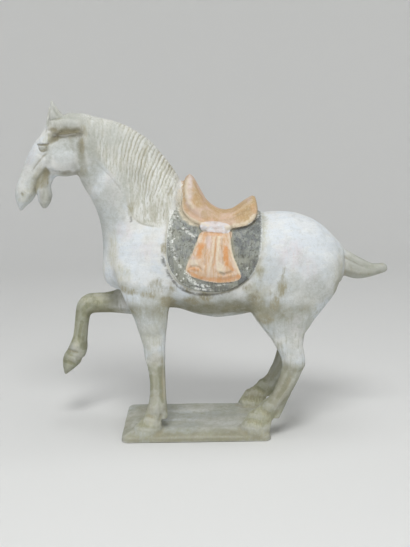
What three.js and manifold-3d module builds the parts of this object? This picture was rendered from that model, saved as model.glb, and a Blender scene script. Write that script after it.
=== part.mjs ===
// A prancing horse of painted pottery on its slab plinth, moulded and fired as one piece.
// Millimetres, +Z up. The origin is the centre of the plinth's underside, the horse faces -X,
// and its near (left) side faces -Y.
import * as THREE from 'three';
import { mergeVertices } from 'three/addons/utils/BufferGeometryUtils.js';
import Module from 'manifold-3d';

const wasm = await Module();
wasm.setup();

// Driving dimensions of the slab and of the lateral build
const plinthLength = 198;
const plinthDepth = 133;
const plinthHeight = 15;
const plinthCorner = 10;
const plinthBevel = 4.5;
const foreLegY = 40;
const hindLegY = 38;
const hoofY = 51;

// What lies on the back: how far the cloth and the hair stand out from the horse
const clothThickness = 3.5;
const hairThickness = 2.5;

// The far ear is turned forwards and down from the near one
const farEarForward = 8;
const farEarDrop = 7;

// Ridges of the mane from the poll to the withers, and pleats of the drape
const maneRidges = 25;
const maneRidgeHeight = 1.6;
const drapePleats = 5;
const drapePleatHeight = 1.3;

// A cut across a form is [x1, z1, x2, z2, y, halfWidth, egg]: its two ends in the side view, the
// sideways place of its middle, its half width, and how much wider (+) it is towards the first end.
const barrelCuts = [
  [-111, 258, -109, 210, 0, 28, 0],
  [-96, 286, -92, 188, 0, 44, 0],
  [-62, 310, -58, 170, 0, 53, -0.05],
  [-22, 312, -22, 169, 0, 57, -0.08],
  [22, 294, 20, 156, 0, 61, -0.1],
  [62, 291, 62, 159, 0, 61, -0.08],
  [98, 297, 96, 166, 0, 61, 0],
  [132, 296, 130, 178, 0, 59, 0],
  [165, 284, 162, 184, 0, 50, 0],
  [188, 263, 187, 194, 0, 36, 0],
];
const neckCuts = [
  [-112, 212, 20, 260, 0, 40, 0.1],
  [-122, 238, -2, 308, 0, 40, 0.1],
  [-122, 266, -12, 338, 0, 37, 0.15],
  [-126, 295, -26, 356, 0, 32, 0.2],
  [-137, 320, -44, 378, 0, 28, 0.25],
  [-148, 339, -68, 399, 0, 25, 0.25],
  [-156, 360, -98, 415, 0, 23, 0.2],
  [-168, 382, -134, 426, 0, 21, 0.1],
  [-180, 400, -162, 429, 0, 19, 0],
];
const headCuts = [
  [-176, 430, -134, 398, 0, 18, 0],
  [-187, 422, -140, 370, 0, 22, 0.05],
  [-197, 406, -148, 352, 0, 24, 0],
  [-208, 392, -166, 347, 0, 24, 0],
  [-215, 379, -184, 348, 0, 19, 0.1],
  [-221, 366, -196, 345, 0, 16, 0.1],
  [-227, 352, -203, 338, 0, 15, 0.1],
  [-233, 338, -208, 331, 0, 15, 0.05],
  [-236, 325, -210, 320, 0, 14.5, 0],
  [-234, 313, -219, 312, 0, 11, 0],
  [-231, 306, -226, 306, 0, 7, 0],
];
const jawCuts = [
  [-198, 360, -168, 358, 0, 15, 0],
  [-207, 348, -184, 344, 0, 11, 0],
  [-209, 336, -188, 335, 0, 9.5, 0],
  [-207, 326, -186, 323, 0, 10, 0],
  [-205, 314, -189, 314, 0, 9, 0],
  [-201, 307, -194, 307, 0, 6, 0],
];
const earCuts = [
  [-186, 422, -163, 426, 12, 7, 0],
  [-185, 431, -170, 432, 14, 5.5, 0],
  [-182, 440, -176, 440, 15, 3, 0],
];
const tailCuts = [
  [184, 260, 184, 210, 0, 20, 0],
  [202, 246, 200, 209, 0, 15, 0],
  [217, 237, 216, 204, 0, 13, 0],
  [230, 230, 230, 205, 0, 11, 0],
  [242, 224.5, 243, 208, 0, 8.5, 0],
  [255, 226, 259, 213, 0, 6.5, 0],
];
// The mane's cuts run along its strands, from the crest to twice their length
const maneCuts = [
  [-148, 432, -144, 364, 0, 21, 0],
  [-124, 425, -128, 340, 0, 23, 0],
  [-93, 417, -105, 290, 0, 26, 0],
  [-62, 400, -90, 238, 0, 31, 0],
  [-41, 379, -84, 204, 0, 37, 0],
  [-26, 359, -62, 210, 0, 41, 0],
  [-16, 342, -40, 220, 0, 43, 0],
];
const saddleCuts = [
  [-16, 324, -11, 236, 0, 36, 0],
  [-12, 340, -6, 230, 0, 40, 0],
  [-4, 349, 0, 224, 0, 43, 0],
  [4, 341, 8, 220, 0, 45, 0],
  [16, 318, 18, 216, 0, 48, 0],
  [27, 307, 28, 214, 0, 50, 0],
  [40, 301, 40, 214, 0, 50, 0],
  [54, 303, 52, 214, 0, 49.5, 0],
  [66, 311, 63, 218, 0, 47, 0.05],
  [79, 319, 74, 222, 0, 43, 0.15],
  [84, 315, 81, 228, 0, 42, 0.15],
  [86, 298, 84, 240, 0, 41, 0],
];

// Legs, from inside the body down to the fetlock, with y measured from the leg's own line
const nearForeCuts = [
  [-98, 260, -46, 260, -14, 14, 0],
  [-104, 242, -38, 242, -8, 18, 0],
  [-106, 224, -31, 222, -4, 20, 0],
  [-98, 198, -29, 192, -2, 19, 0],
  [-84, 172, -33, 168, 0, 17, 0],
  [-76, 150, -37, 148, 1, 14, 0],
  [-69, 128, -39, 126, 3, 12.5, 0],
  [-67, 110, -39, 108, 4, 12.5, 0],
  [-62, 92, -40, 91, 5, 10.5, 0],
  [-60, 72, -39, 72, 7, 9.5, 0],
  [-61, 56, -39, 56, 8, 10, 0],
  [-64, 44, -40, 42, 9, 12, 0],
  [-68, 33, -47, 31, 10, 11, 0],
  [-70, 24, -46, 18, 10, 12, 0],
];
const farForeCuts = [
  [-70, 234, -50, 168, -6, 20, 0],
  [-92, 204, -76, 152, -2, 18, 0],
  [-112, 186, -104, 153, 0, 15, 0],
  [-132, 183, -127, 155, 0, 14, 0],
  [-149, 182, -141, 154, 0, 13.5, 0],
  [-162, 173, -146, 152, 0, 13, 0],
  [-167, 158, -148, 146, 0, 12, 0],
  [-169, 140, -150, 136, 0, 11, 0],
  [-172, 122, -152, 118, 0, 10.5, 0],
  [-178, 109, -152, 102, 0, 11.5, 0],
  [-184, 97, -157, 91, 0, 11, 0],
];
const hindCuts = [
  [98, 266, 168, 260, -16, 24, 0],
  [84, 236, 195, 234, -8, 32, 0],
  [74, 200, 193, 204, -5, 31, 0],
  [72, 170, 178, 180, -2, 26, 0],
  [88, 148, 158, 156, 1, 19, 0],
  [103, 128, 144, 135, 4, 14, 0],
  [111, 112, 144, 116, 6, 12, 0],
  [115, 100, 147, 101, 7, 12.5, 0],
  [112, 85, 140, 86, 8, 11, 0],
  [106, 68, 133, 72, 10, 10, 0],
  [98, 55, 124, 58, 11, 10.5, 0],
  [86, 46, 111, 41, 12, 12, 0],
  [73, 33, 102, 28, 12, 12.5, 0],
];

// Hooves, and the cut-off tufts behind the fetlocks
const nearForeHoof = [
  [-70, 29, -46, 27, 0, 12, 0],
  [-79, 21, -45, 19, 0, 14, 0],
  [-88, 11, -44, 11, 0, 16, 0],
];
const hindHoof = [
  [72, 35, 101, 32, 0, 12.5, 0],
  [63, 25, 100, 22, 0, 14.5, 0],
  [56, 11, 99, 11, 0, 16, 0],
];
const farForeHoof = [
  [-184, 99, -159, 92, 0, 10.5, 0],
  [-188, 89, -162, 83, 0, 12, 0],
  [-188, 79, -170, 76, 0, 11, 0],
  [-186, 67, -183, 67, 0, 6, 0],
];
const nearForeTuft = [
  [-58, 64, -41, 64, 7, 6, 0],
  [-58, 46, -38, 46, 9, 7, 0],
  [-54, 29, -37, 29, 10, 5, 0],
];
const hindTuft = [
  [106, 72, 133, 74, 10, 6, 0],
  [100, 48, 122, 50, 12, 7, 0],
  [92, 30, 111, 26, 12, 5, 0],
];

// The drape of the saddle, hanging from its knot down the barrel, and the knot along the saddle
const drapeCuts = [
  [12, 280, 49, 280, 38.5, 12, 0],
  [6, 261, 50, 261, 49, 12, 0],
  [-3, 244, 54, 245, 55, 11, 0],
  [-10, 229, 61, 225, 58, 10, 0],
  [-4, 220, 61, 217, 58, 9, 0],
];
const knotCuts = [
  [9, 287, 9, 278, 42, 7.5, 0],
  [18, 290, 18, 275, 42, 9.5, 0],
  [29, 287, 29, 278, 42, 8, 0],
  [39, 290, 39, 275, 42, 9.5, 0],
  [49, 287, 49, 277, 42, 7.5, 0],
];

// Rounded swellings, each [radius, x, y, z, stretch in y]: the breast, and one side's cheek and eye
const breastBall = [27, -97, 0, 221, 1.3];
const cheekBall = [21, -169, 12, 374, 0.66];
const eyeBall = [4, -192, 19, 386, 0.8];

// Outlines in the side view
const clothOutline = [
  [-10, 335], [-20, 332], [-23, 314], [-31, 288], [-34, 254], [-31, 234], [-23, 218], [-8, 206], [18, 200],
  [42, 201], [60, 209], [74, 222], [83, 239], [87, 260], [89, 288], [89, 328],
];
const saddleOutline = [
  [-24, 368], [-15, 320], [-13, 305], [-5, 293], [8, 286], [28, 279], [49, 280], [73, 285],
  [82, 295], [90, 328], [60, 398],
];
const maneOutline = [
  [-144, 448], [-139, 402], [-139, 386], [-123, 370], [-92, 332], [-82, 296], [-62, 285], [-42, 282],
  [-24, 304], [10, 358], [-40, 458],
];
const capOutline = [
  [-194, 448], [-191, 418], [-184, 403], [-165, 401], [-144, 406], [-136, 438], [-160, 468],
];

const withPower = (value, power) => Math.sign(value) * Math.abs(value) ** power;
const shifted = (cuts, y) => cuts.map(([x1, z1, x2, z2, cutY, halfWidth, egg]) => (
  [x1, z1, x2, z2, y + cutY, halfWidth, egg]
));
const mirrored = (cuts) => cuts.map(([x1, z1, x2, z2, y, halfWidth, egg]) => (
  [x1, z1, x2, z2, -y, halfWidth, egg]
));

// A geometry as a solid that can be joined and cut
function solid(geometry) {
  const bare = geometry.clone();
  bare.deleteAttribute('normal');
  bare.deleteAttribute('uv');
  const merged = mergeVertices(bare, 1e-4);
  return new wasm.Manifold(new wasm.Mesh({
    numProp: 3,
    vertProperties: new Float32Array(merged.getAttribute('position').array),
    triVerts: new Uint32Array(merged.getIndex().array),
  }));
}

function fuse(solids) {
  return solids.reduce((whole, piece) => whole.add(piece));
}

function geometryOf(manifold) {
  const mesh = manifold.getMesh();
  const geometry = new THREE.BufferGeometry();
  geometry.setAttribute('position', new THREE.BufferAttribute(mesh.vertProperties, 3));
  geometry.setIndex(new THREE.BufferAttribute(mesh.triVerts, 1));
  return geometry;
}

// The same geometry with its faces turned round
function turned(geometry) {
  const index = geometry.getIndex();
  for (let i = 0; i < index.count; i += 3) {
    const second = index.getX(i + 1);
    index.setX(i + 1, index.getX(i + 2));
    index.setX(i + 2, second);
  }
  return geometry;
}

// Lays the rows of a sphere onto a row of cuts, so that they become one closed, smooth form. It is
// closed over domes of the heights in `domes`. `power` under 1 squares the sections, `grow` widens
// them, and `swell(along, around)` gives further millimetres outwards.
function skin(cuts, {
  sides, steps, domes, domeRows = 2, power = 1, grow = 0, swell = () => 0,
}) {
  const rows = steps + 2 * domeRows;
  const curve = (pick) => new THREE.CatmullRomCurve3(cuts.map(pick), false, 'catmullrom', 0.5);
  const firstEdge = curve((c) => new THREE.Vector3(c[0], c[4], c[1]));
  const secondEdge = curve((c) => new THREE.Vector3(c[2], c[4], c[3]));
  const build = curve((c) => new THREE.Vector3(c[5], c[6], 0));
  const middleAt = (t) => firstEdge.getPoint(t).add(secondEdge.getPoint(t)).multiplyScalar(0.5);

  const geometry = new THREE.SphereGeometry(1, sides, rows);
  const position = geometry.getAttribute('position');
  const point = new THREE.Vector3();
  for (let row = 0; row <= rows; row++) {
    const before = Math.max(0, domeRows - row) / domeRows;
    const after = Math.max(0, row - domeRows - steps) / domeRows;
    const along = THREE.MathUtils.clamp((row - domeRows) / steps, 0, 1);
    const lean = (before + after) * Math.PI / 2;
    const reach = Math.sin(lean) * (before > 0 ? -domes[0] - grow : domes[1] + grow);
    const size = Math.cos(lean);
    const ahead = middleAt(Math.min(1, along + 0.01)).sub(middleAt(Math.max(0, along - 0.01))).normalize();
    const middle = middleAt(along).addScaledVector(ahead, reach);
    const half = firstEdge.getPoint(along).sub(secondEdge.getPoint(along)).multiplyScalar(0.5);
    const depth = half.length();
    const { x: halfWidth, y: egg } = build.getPoint(along);
    for (let side = 0; side <= sides; side++) {
      const around = side / sides * Math.PI * 2;
      const up = withPower(Math.cos(around), power);
      const out = withPower(Math.sin(around), power) * (1 + egg * up);
      const extra = grow + swell(along, around);
      point.copy(half).multiplyScalar(size * up * (1 + extra / depth));
      point.y += size * out * (halfWidth + extra);
      point.add(middle);
      position.setXYZ(row * (sides + 1) + side, point.x, point.y, point.z);
    }
  }
  const made = solid(geometry);
  return made.volume() < 0 ? solid(turned(geometry)) : made;
}

// A plate through the whole width of the horse, with the given outline in the side view
function sidePlate(outline, points) {
  const reach = plinthDepth;
  const curve = new THREE.CatmullRomCurve3(
    outline.map(([x, z]) => new THREE.Vector3(x, z, 0)), true, 'centripetal',
  );
  const shape = new THREE.Shape(curve.getPoints(points).slice(0, -1).map((p) => new THREE.Vector2(p.x, p.y)));
  const geometry = new THREE.ExtrudeGeometry(shape, { depth: 2 * reach, bevelEnabled: false });
  geometry.translate(0, 0, -reach);
  geometry.rotateX(Math.PI / 2);
  return solid(geometry);
}

function ball([radius, x, y, z, stretchY], side = 1) {
  const geometry = new THREE.SphereGeometry(radius, 14, 8);
  geometry.rotateX(Math.PI / 2);
  geometry.scale(1, stretchY, 1);
  geometry.translate(x, side * y, z);
  return solid(geometry);
}

function plinth() {
  const x = plinthLength / 2 - plinthBevel;
  const y = plinthDepth / 2 - plinthBevel;
  const corner = plinthCorner - plinthBevel;
  const shape = new THREE.Shape();
  shape.moveTo(-x + corner, -y);
  shape.absarc(x - corner, -y + corner, corner, -Math.PI / 2, 0);
  shape.absarc(x - corner, y - corner, corner, 0, Math.PI / 2);
  shape.absarc(-x + corner, y - corner, corner, Math.PI / 2, Math.PI);
  shape.absarc(-x + corner, -y + corner, corner, Math.PI, Math.PI * 1.5);
  const geometry = new THREE.ExtrudeGeometry(shape, {
    depth: plinthHeight - plinthBevel,
    curveSegments: 4,
    bevelSize: plinthBevel,
    bevelThickness: plinthBevel,
    bevelSegments: 2,
  });
  const below = new THREE.BoxGeometry(2 * plinthLength, 2 * plinthDepth, plinthHeight);
  below.translate(0, 0, -plinthHeight / 2);
  return solid(geometry).subtract(solid(below));
}

const barrelGrid = { sides: 24, steps: 15, domes: [13, 16], power: 0.9 };
const neckGrid = { sides: 18, steps: 10, domes: [2, 2] };
const headGrid = { sides: 16, steps: 13, domes: [2, 3] };

function trunk() {
  return fuse([
    skin(barrelCuts, barrelGrid),
    skin(neckCuts, neckGrid),
    ball(breastBall),
    skin(tailCuts, { sides: 10, steps: 9, domes: [2, 4] }),
  ]);
}

function head() {
  const farEarCuts = earCuts.map(([x1, z1, x2, z2, y, halfWidth, egg]) => (
    [x1 - farEarForward, z1 - farEarDrop, x2 - farEarForward, z2 - farEarDrop, y, halfWidth, egg]
  ));
  const sides = [-1, 1].flatMap((side) => [
    ball(cheekBall, side),
    ball(eyeBall, side),
    skin(side < 0 ? mirrored(earCuts) : farEarCuts, { sides: 8, steps: 3, domes: [1, 7] }),
  ]);
  const cap = fuse([
    skin(headCuts, { ...headGrid, grow: hairThickness }),
    skin(neckCuts, { ...neckGrid, grow: hairThickness }),
  ]).intersect(sidePlate(capOutline, 20));
  return fuse([
    skin(headCuts, headGrid),
    skin(jawCuts, { sides: 10, steps: 5, domes: [2, 2], domeRows: 1 }),
    ...sides,
    cap,
  ]);
}

function mane() {
  const ridge = (along) => maneRidgeHeight * 0.5 * Math.cos(2 * Math.PI * maneRidges * along);
  const hair = skin(maneCuts, { sides: 12, steps: 2 * maneRidges, domes: [1, 1], domeRows: 1, swell: ridge });
  return hair.intersect(sidePlate(maneOutline, 20));
}

function cloth() {
  const grown = fuse([
    skin(barrelCuts, { ...barrelGrid, grow: clothThickness }),
    skin(neckCuts, { ...neckGrid, grow: clothThickness }),
  ]);
  return grown.intersect(sidePlate(clothOutline, 34));
}

function saddle() {
  const seat = skin(saddleCuts, { sides: 20, steps: 16, domes: [1, 2], domeRows: 1, power: 0.85 });
  return seat.intersect(sidePlate(saddleOutline, 26));
}

// One side's knot and pleated drape
function drape(side) {
  const laid = (cuts) => (side < 0 ? mirrored(cuts) : cuts);
  const pleat = (along, around) => drapePleatHeight * Math.cos(Math.PI * drapePleats * Math.cos(around));
  return fuse([
    skin(laid(drapeCuts), { sides: 22, steps: 4, domes: [1, 5], domeRows: 1, power: 0.7, swell: pleat }),
    skin(laid(knotCuts), { sides: 8, steps: 8, domes: [2, 2], domeRows: 1 }),
  ]);
}

function legs() {
  const leg = { sides: 12, steps: 15, domes: [6, 2], domeRows: 1 };
  const hoof = { sides: 12, steps: 3, domes: [2, 0.5], domeRows: 1 };
  const tuft = { sides: 6, steps: 2, domes: [1, 0.5], domeRows: 1 };
  return fuse([
    skin(mirrored(shifted(nearForeCuts, foreLegY)), leg),
    skin(shifted(nearForeHoof, -hoofY), hoof),
    skin(mirrored(shifted(nearForeTuft, foreLegY)), tuft),
    skin(shifted(farForeCuts, foreLegY), leg),
    skin(shifted(farForeHoof, foreLegY), hoof),
    ...[-1, 1].flatMap((side) => [
      skin(side < 0 ? mirrored(shifted(hindCuts, hindLegY)) : shifted(hindCuts, hindLegY), leg),
      skin(shifted(hindHoof, side * hoofY), hoof),
      skin(side < 0 ? mirrored(shifted(hindTuft, hindLegY)) : shifted(hindTuft, hindLegY), tuft),
    ]),
  ]);
}

const horse = new THREE.Mesh(
  geometryOf(fuse([trunk(), head(), mane(), cloth(), saddle(), drape(-1), drape(1), legs(), plinth()])),
  new THREE.MeshStandardMaterial({ color: 0xd6d3c6, roughness: 0.9, metalness: 0 }),
);
horse.name = 'horse_figure';

const figure = new THREE.Group();
figure.add(horse);

export default figure;
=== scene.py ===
# A prancing horse of painted pottery on its slab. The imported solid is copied, evened out, carved
# and painted. Form settings are in millimetres: x along the horse, z up, the head at -x.
import math

import bmesh
import bpy
import numpy as np
from mathutils import Matrix, Vector


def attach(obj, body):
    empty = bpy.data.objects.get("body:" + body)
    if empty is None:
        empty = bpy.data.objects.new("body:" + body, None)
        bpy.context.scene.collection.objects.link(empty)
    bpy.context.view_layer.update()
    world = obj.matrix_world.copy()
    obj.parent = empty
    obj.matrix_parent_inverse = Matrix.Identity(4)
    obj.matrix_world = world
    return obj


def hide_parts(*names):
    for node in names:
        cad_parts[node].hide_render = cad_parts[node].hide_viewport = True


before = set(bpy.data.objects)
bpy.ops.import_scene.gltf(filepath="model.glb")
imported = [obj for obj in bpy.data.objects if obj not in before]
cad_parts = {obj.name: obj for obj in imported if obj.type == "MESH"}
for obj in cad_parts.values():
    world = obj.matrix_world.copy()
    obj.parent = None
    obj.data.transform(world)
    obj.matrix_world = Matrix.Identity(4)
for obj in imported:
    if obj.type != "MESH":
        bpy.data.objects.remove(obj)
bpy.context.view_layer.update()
print("frame loaded")


def ease(value, low, high):  # 0 below low, 1 above high, smooth between; low may be the larger
    t = np.clip((value - low) / (high - low), 0, 1)
    return t * t * (3 - 2 * t)


# Everything uneven, as [distance between bumps, amount, seed]
bumps = {
    "body": [34, 0.55, 3], "bodyMiddle": [13, 0.22, 4], "bodyFine": [5, 0.10, 5], "slabSides": [24, 0.5, 6],
    "strandWaver": [20, 0.34, 11], "strandWaverFine": [8, 0.20, 12], "strandDepth": [5, 0.55, 13],
    "patches": [16, 0.30, 21], "patchesFine": [6, 0.22, 22], "lines": [5, 0.40, 23],
    "linesFine": [2.3, 0.30, 24], "strandTone": [6, 0.7, 31], "slabBands": [9, 0.2, 41],
}


# Seeded soft noise, between minus its amount and its amount
def unevenness(points, name, cells=32):
    size, amount, seed = bumps[name]
    table = np.random.default_rng(seed).uniform(-1, 1, (cells, cells, cells))
    cell = np.floor(points / size).astype(int)
    part = points / size - cell
    part = part * part * (3 - 2 * part)
    total = np.zeros(len(points))
    for corner in np.ndindex(2, 2, 2):
        weight = np.prod(np.where(corner, part, 1 - part), axis=1)
        i, j, k = ((cell + corner) % cells).T
        total += weight * table[i, j, k]
    return amount * total


# A rounded line through side-view points, as an array of closer points
def roundedLine(points, closed=False, parts=6):
    knots = np.array(points, dtype=float)
    if closed:
        knots = np.vstack([knots[-1], knots, knots[0], knots[1]])
    else:
        knots = np.vstack([2 * knots[0] - knots[1], knots, 2 * knots[-1] - knots[-2]])
    t = (np.arange(parts) / parts)[:, None]
    line = []
    for a, b, c, d in zip(knots, knots[1:], knots[2:], knots[3:]):
        line.append(0.5 * (2 * b + (c - a) * t + (2 * a - 5 * b + 4 * c - d) * t ** 2
                           + (3 * b - a - 3 * c + d) * t ** 3))
    if not closed:
        line.append(knots[-2:-1])
    return np.vstack(line)


# How far each side-view point is from a line, and how far along the line it is nearest to (0 to 1)
def lineDistance(x, z, line):
    best = np.full(len(x), 1e9)
    along = np.zeros(len(x))
    steps = np.hypot(*np.diff(line, axis=0).T)
    walked = np.concatenate([[0], np.cumsum(steps)])
    for i, step in enumerate(steps):
        (ax, az), (bx, bz) = line[i], line[i + 1]
        dx, dz = bx - ax, bz - az
        t = np.clip(((x - ax) * dx + (z - az) * dz) / max(step * step, 1e-9), 0, 1)
        distance = np.hypot(x - ax - t * dx, z - az - t * dz)
        closer = distance < best
        best[closer] = distance[closer]
        along[closer] = (walked[i] + t[closer] * step) / walked[-1]
    return best, along


# How deep each side-view point lies inside a closed outline: negative outside, at most `reach`
def depthInside(x, z, points, reach=20.0):
    line = roundedLine(points, closed=True)
    line = np.vstack([line, line[0]])
    (lowX, lowZ), (highX, highZ) = line.min(axis=0), line.max(axis=0)
    near = (x > lowX - reach) & (x < highX + reach) & (z > lowZ - reach) & (z < highZ + reach)
    nearX, nearZ = x[near], z[near]
    inside = np.zeros(len(nearX), dtype=bool)
    for (ax, az), (bx, bz) in zip(line, line[1:]):
        if az != bz:
            crossing = (bx - ax) * (nearZ - az) / (bz - az) + ax
            inside ^= ((az > nearZ) != (bz > nearZ)) & (nearX < crossing)
    distance, _ = lineDistance(nearX, nearZ, line)
    depth = np.full(len(x), -reach)
    depth[near] = np.clip(np.where(inside, distance, -distance), -reach, reach)
    return depth


def readPoints(mesh):
    values = np.empty(len(mesh.vertices) * 3, dtype=np.float32)
    mesh.vertices.foreach_get("co", values)
    return values.reshape(-1, 3).astype(float) * 1000


def writePoints(mesh, points):
    mesh.vertices.foreach_set("co", (points / 1000).astype(np.float32).ravel())
    mesh.update()


def readNormals(mesh):
    values = np.empty(len(mesh.vertices) * 3, dtype=np.float32)
    mesh.vertex_normals.foreach_get("vector", values)
    return values.reshape(-1, 3).astype(float)


def readEdges(mesh):
    values = np.empty(len(mesh.edges) * 2, dtype=np.int32)
    mesh.edges.foreach_get("vertices", values)
    return values.reshape(-1, 2)


# The mean of each point's neighbours, for any columns of values
class Neighbours:
    def __init__(self, mesh):
        edges = readEdges(mesh)
        self.near = np.concatenate([edges[:, 0], edges[:, 1]])
        self.far = np.concatenate([edges[:, 1], edges[:, 0]])
        self.size = len(mesh.vertices)
        self.count = np.maximum(np.bincount(self.near, minlength=self.size), 1)

    def mean(self, values):
        sums = [np.bincount(self.near, weights=column[self.far], minlength=self.size) for column in values.T]
        return np.stack(sums, axis=1) / self.count[:, None]

    def relax(self, values, weight, passes):  # the weight is one number, or one for each point
        share = np.full(self.size, weight)[:, None]
        for _ in range(passes):
            values = values + share * (self.mean(values) - values)
        return values


# Outlines of the forms in the side view, as [x, z]
outlines = {
    "cloth": [(-4, 318), (-14, 318), (-24, 303), (-31, 288), (-34, 254), (-31, 234), (-23, 218), (-8, 206),
              (18, 200), (42, 201), (60, 209), (74, 222), (83, 239), (87, 260), (89, 288), (89, 328)],
    "saddle": [(-13.5, 352), (-14, 320), (-13, 305), (-5, 293), (8, 286), (28, 279), (49, 280), (73, 285),
               (82, 295), (90, 328), (60, 398), (0, 390)],
    "mane": [(-144, 448), (-139, 402), (-139, 386), (-123, 370), (-92, 332), (-82, 296), (-62, 285),
             (-42, 282), (-25, 304), (-17, 340), (-17, 360), (-40, 458)],
    "drape": [(13, 277), (4, 261), (-3, 246), (-9, 233), (-8, 224), (8, 217), (26, 213), (46, 213), (60, 218),
              (57, 232), (51, 246), (48, 262), (48, 277)],
    "knot": [(11, 288), (12, 278), (28, 276), (46, 275), (47, 285), (30, 289)],
    "hairCap": [(-194, 448), (-192, 422), (-186, 411), (-165, 409), (-144, 410), (-134, 438), (-160, 468)],
}

# How far the copied solid is evened out, in mm, and the zones where that holds. A zone's stretches, such as
# ("x", -136, -152), come in from the first place to the second: along x or z, out to the side, by the
# depth inside a form, or by the distance from its edge.
evening = {
    "hair": [6.0, [("mane", -2, 8)]],
    "head": [2.6, [("x", -136, -152), ("z", 296, 312)]],
    "jawRear": [5.5, [("x", -157, -151), ("x", -134, -142), ("z", 345, 352), ("z", 402, 394)]],
    "muzzle": [1.6, [("z", 342, 330), ("x", -178, -186)]],
    "ears": [1.1, [("z", 421, 428), ("x", -156, -164)]],
    "tail": [2.3, [("x", 192, 206)]],
    "tailTip": [4.0, [("x", 244, 256)]],
    "legs": [2.9, [("z", 172, 148)], [("x", -104, -120), ("z", 212, 196)]],
    "pasterns": [2.0, [("z", 72, 52)]],
    "hooves": [1.8, [("z", 34, 24)]],
    "slab": [2.6, [("z", 19, 15.5)]],
    "saddle": [3.0, [("saddle", 0, 6)]],
    "saddleTips": [2.2, [("x", 8, -2), ("z", 312, 324), ("saddle", 0, 6)],
                   [("x", 62, 70), ("z", 300, 308), ("saddle", 0, 6)]],
    "clothEdge": [1.3, [("clothEdge", 7, 1.5), ("side", 12, 22)]],
    "saddleEdge": [1.3, [("saddleEdge", 5, 1.5), ("side", 12, 22)]],
    "drapeEdge": [1.3, [("drapeEdge", 5, 1.5), ("side", 12, 22)]],
    "knotEdge": [1.3, [("knotEdge", 4, 1.5), ("side", 12, 22)]],
    "clothRear": [3.4, [("clothEdge", 8, 4), ("x", 62, 78)]],
    "withers": [6.5, [("x", -38, -30), ("x", -14, -19), ("z", 296, 304), ("z", 358, 346)]],
}

slab = {"halfLength": 99, "halfWidth": 66.5, "top": 14.8, "slump": 6.5, "reach": 20, "farShare": 0.2}


# The slab's rim slumps down, most of all along the near side
def slumped(points):
    x, y, z = points.T
    inward = np.minimum(slab["halfLength"] - np.abs(x), slab["halfWidth"] - np.abs(y))
    nearness = slab["farShare"] + (1 - slab["farShare"]) * ease(y, 50, -20)
    drop = slab["slump"] * ease(inward, slab["reach"], -2) * nearness * ease(inward, -5, -1)
    points[:, 2] = z - drop * np.clip(z / slab["top"], 0, 1) * ease(z, 40, 16)
    return points


farOutside = -20  # the depth of a point that is well outside a form


# How deep each point lies inside each form; nothing before the face or below the belly belongs to one
def formDepths(points, face=-205, belly=150):
    x, z = points[:, 0], points[:, 2]
    depths = {name: depthInside(x, z, outline) for name, outline in outlines.items()}
    for depth in depths.values():
        depth[(x <= face) | (z <= belly)] = farOutside
    return depths


def zonePlaces(points, depths):
    x, y, z = points.T
    edges = {name + "Edge": np.abs(depth) for name, depth in depths.items()}
    return {"x": x, "z": z, "side": np.abs(y), "farSide": 1.0 * (y > 0), **depths, **edges}


# How far each point lies in a zone, from 0 to 1
def zoneShare(places, zone):
    share = 1
    for place, start, full in zone:
        share = share * ease(places[place], start, full)
    return share


def eveningRadius(points, depths):
    places = zonePlaces(points, depths)
    radius = np.full(len(points), horseBuild["evening"])
    for width, *zones in evening.values():
        shares = [zoneShare(places, zone) for zone in zones]
        radius = radius + (width - radius) * np.maximum.reduce(shares)
    return radius


# Strokes are [path, half width, height, side]: a ridge (+) or groove (-) laid along a side-view path,
# on the near side (-1), the far side (1) or both (0).
headStrokes = {
    "browRidge": [[(-182, 405), (-187, 401), (-192, 397.5), (-199, 394.5)], 4.4, 2.0, 0],
    "browShade": [[(-158, 405), (-166, 404.5), (-173, 401), (-180, 395), (-187, 389.5)], 3.2, -1.5, 0],
    "upperLid": [[(-201, 393), (-195, 392.6), (-189, 392.4), (-184, 393.6)], 1.5, 0.9, 0],
    "lidLine": [[(-200.5, 390.4), (-196, 389.8), (-190, 389.6), (-185.5, 391)], 1.1, -1.3, 0],
    "lowerLid": [[(-200.5, 386), (-198, 380.8), (-193, 379), (-188.5, 382.5)], 1.4, 0.9, 0],
    "eyeUnder": [[(-198.5, 385.5), (-196.5, 382.5), (-193, 381.6), (-189.8, 384)], 1.0, -0.7, 0],
    "tearBag": [[(-200, 380), (-196, 376), (-190, 376.5), (-185, 381)], 1.7, -0.7, 0],
    "capRoll": [[(-188, 416), (-180, 417), (-166, 417.5), (-152, 417.5), (-141, 415)], 5.0, 3.0, 0],
    "capShade": [[(-184, 410), (-173, 407.5), (-163, 407), (-152, 407.5), (-142, 409)], 5.0, -2.2, 0],
    "bandFall": [[(-181, 403), (-170, 403.6), (-158, 404.4), (-148, 405.4), (-142, 406)], 2.0, -1.0, 0],
    "rollTurn": [[(-141, 408), (-142, 400), (-144, 392)], 3.6, -0.8, 0],
    "faceCrest": [[(-186, 374), (-193, 364), (-200, 354), (-207, 344)], 2.3, 1.0, 0],
    "faceGroove": [[(-190, 378), (-197, 371), (-204, 363), (-209, 356)], 1.6, -1.0, 0],
    "underCrest": [[(-189, 363), (-196, 353), (-203, 343)], 2.8, -0.6, 0],
    "cheekEdge": [[(-186, 358), (-177, 355.5), (-163, 354.5), (-154, 357)], 1.6, -0.7, 0],
    "jawHollow": [[(-190, 360), (-191, 353), (-195, 345)], 3.2, -1.0, 0],
    "jawSide": [[(-193, 340), (-192, 326), (-195, 311)], 2.6, 0.8, 0],
    "lipLine": [[(-204, 331), (-203, 337), (-199, 343)], 1.3, -0.5, 0],
    "upperLip": [[(-225, 313), (-219, 321), (-212, 330), (-209, 338)], 2.4, 0.9, 0],
    "noseDip": [[(-216, 345), (-217, 336), (-216, 328)], 3.0, -0.6, 0],
    "earHollow": [[(-178, 437), (-175, 430), (-172, 426)], 1.7, -0.9, 0],
}
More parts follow.
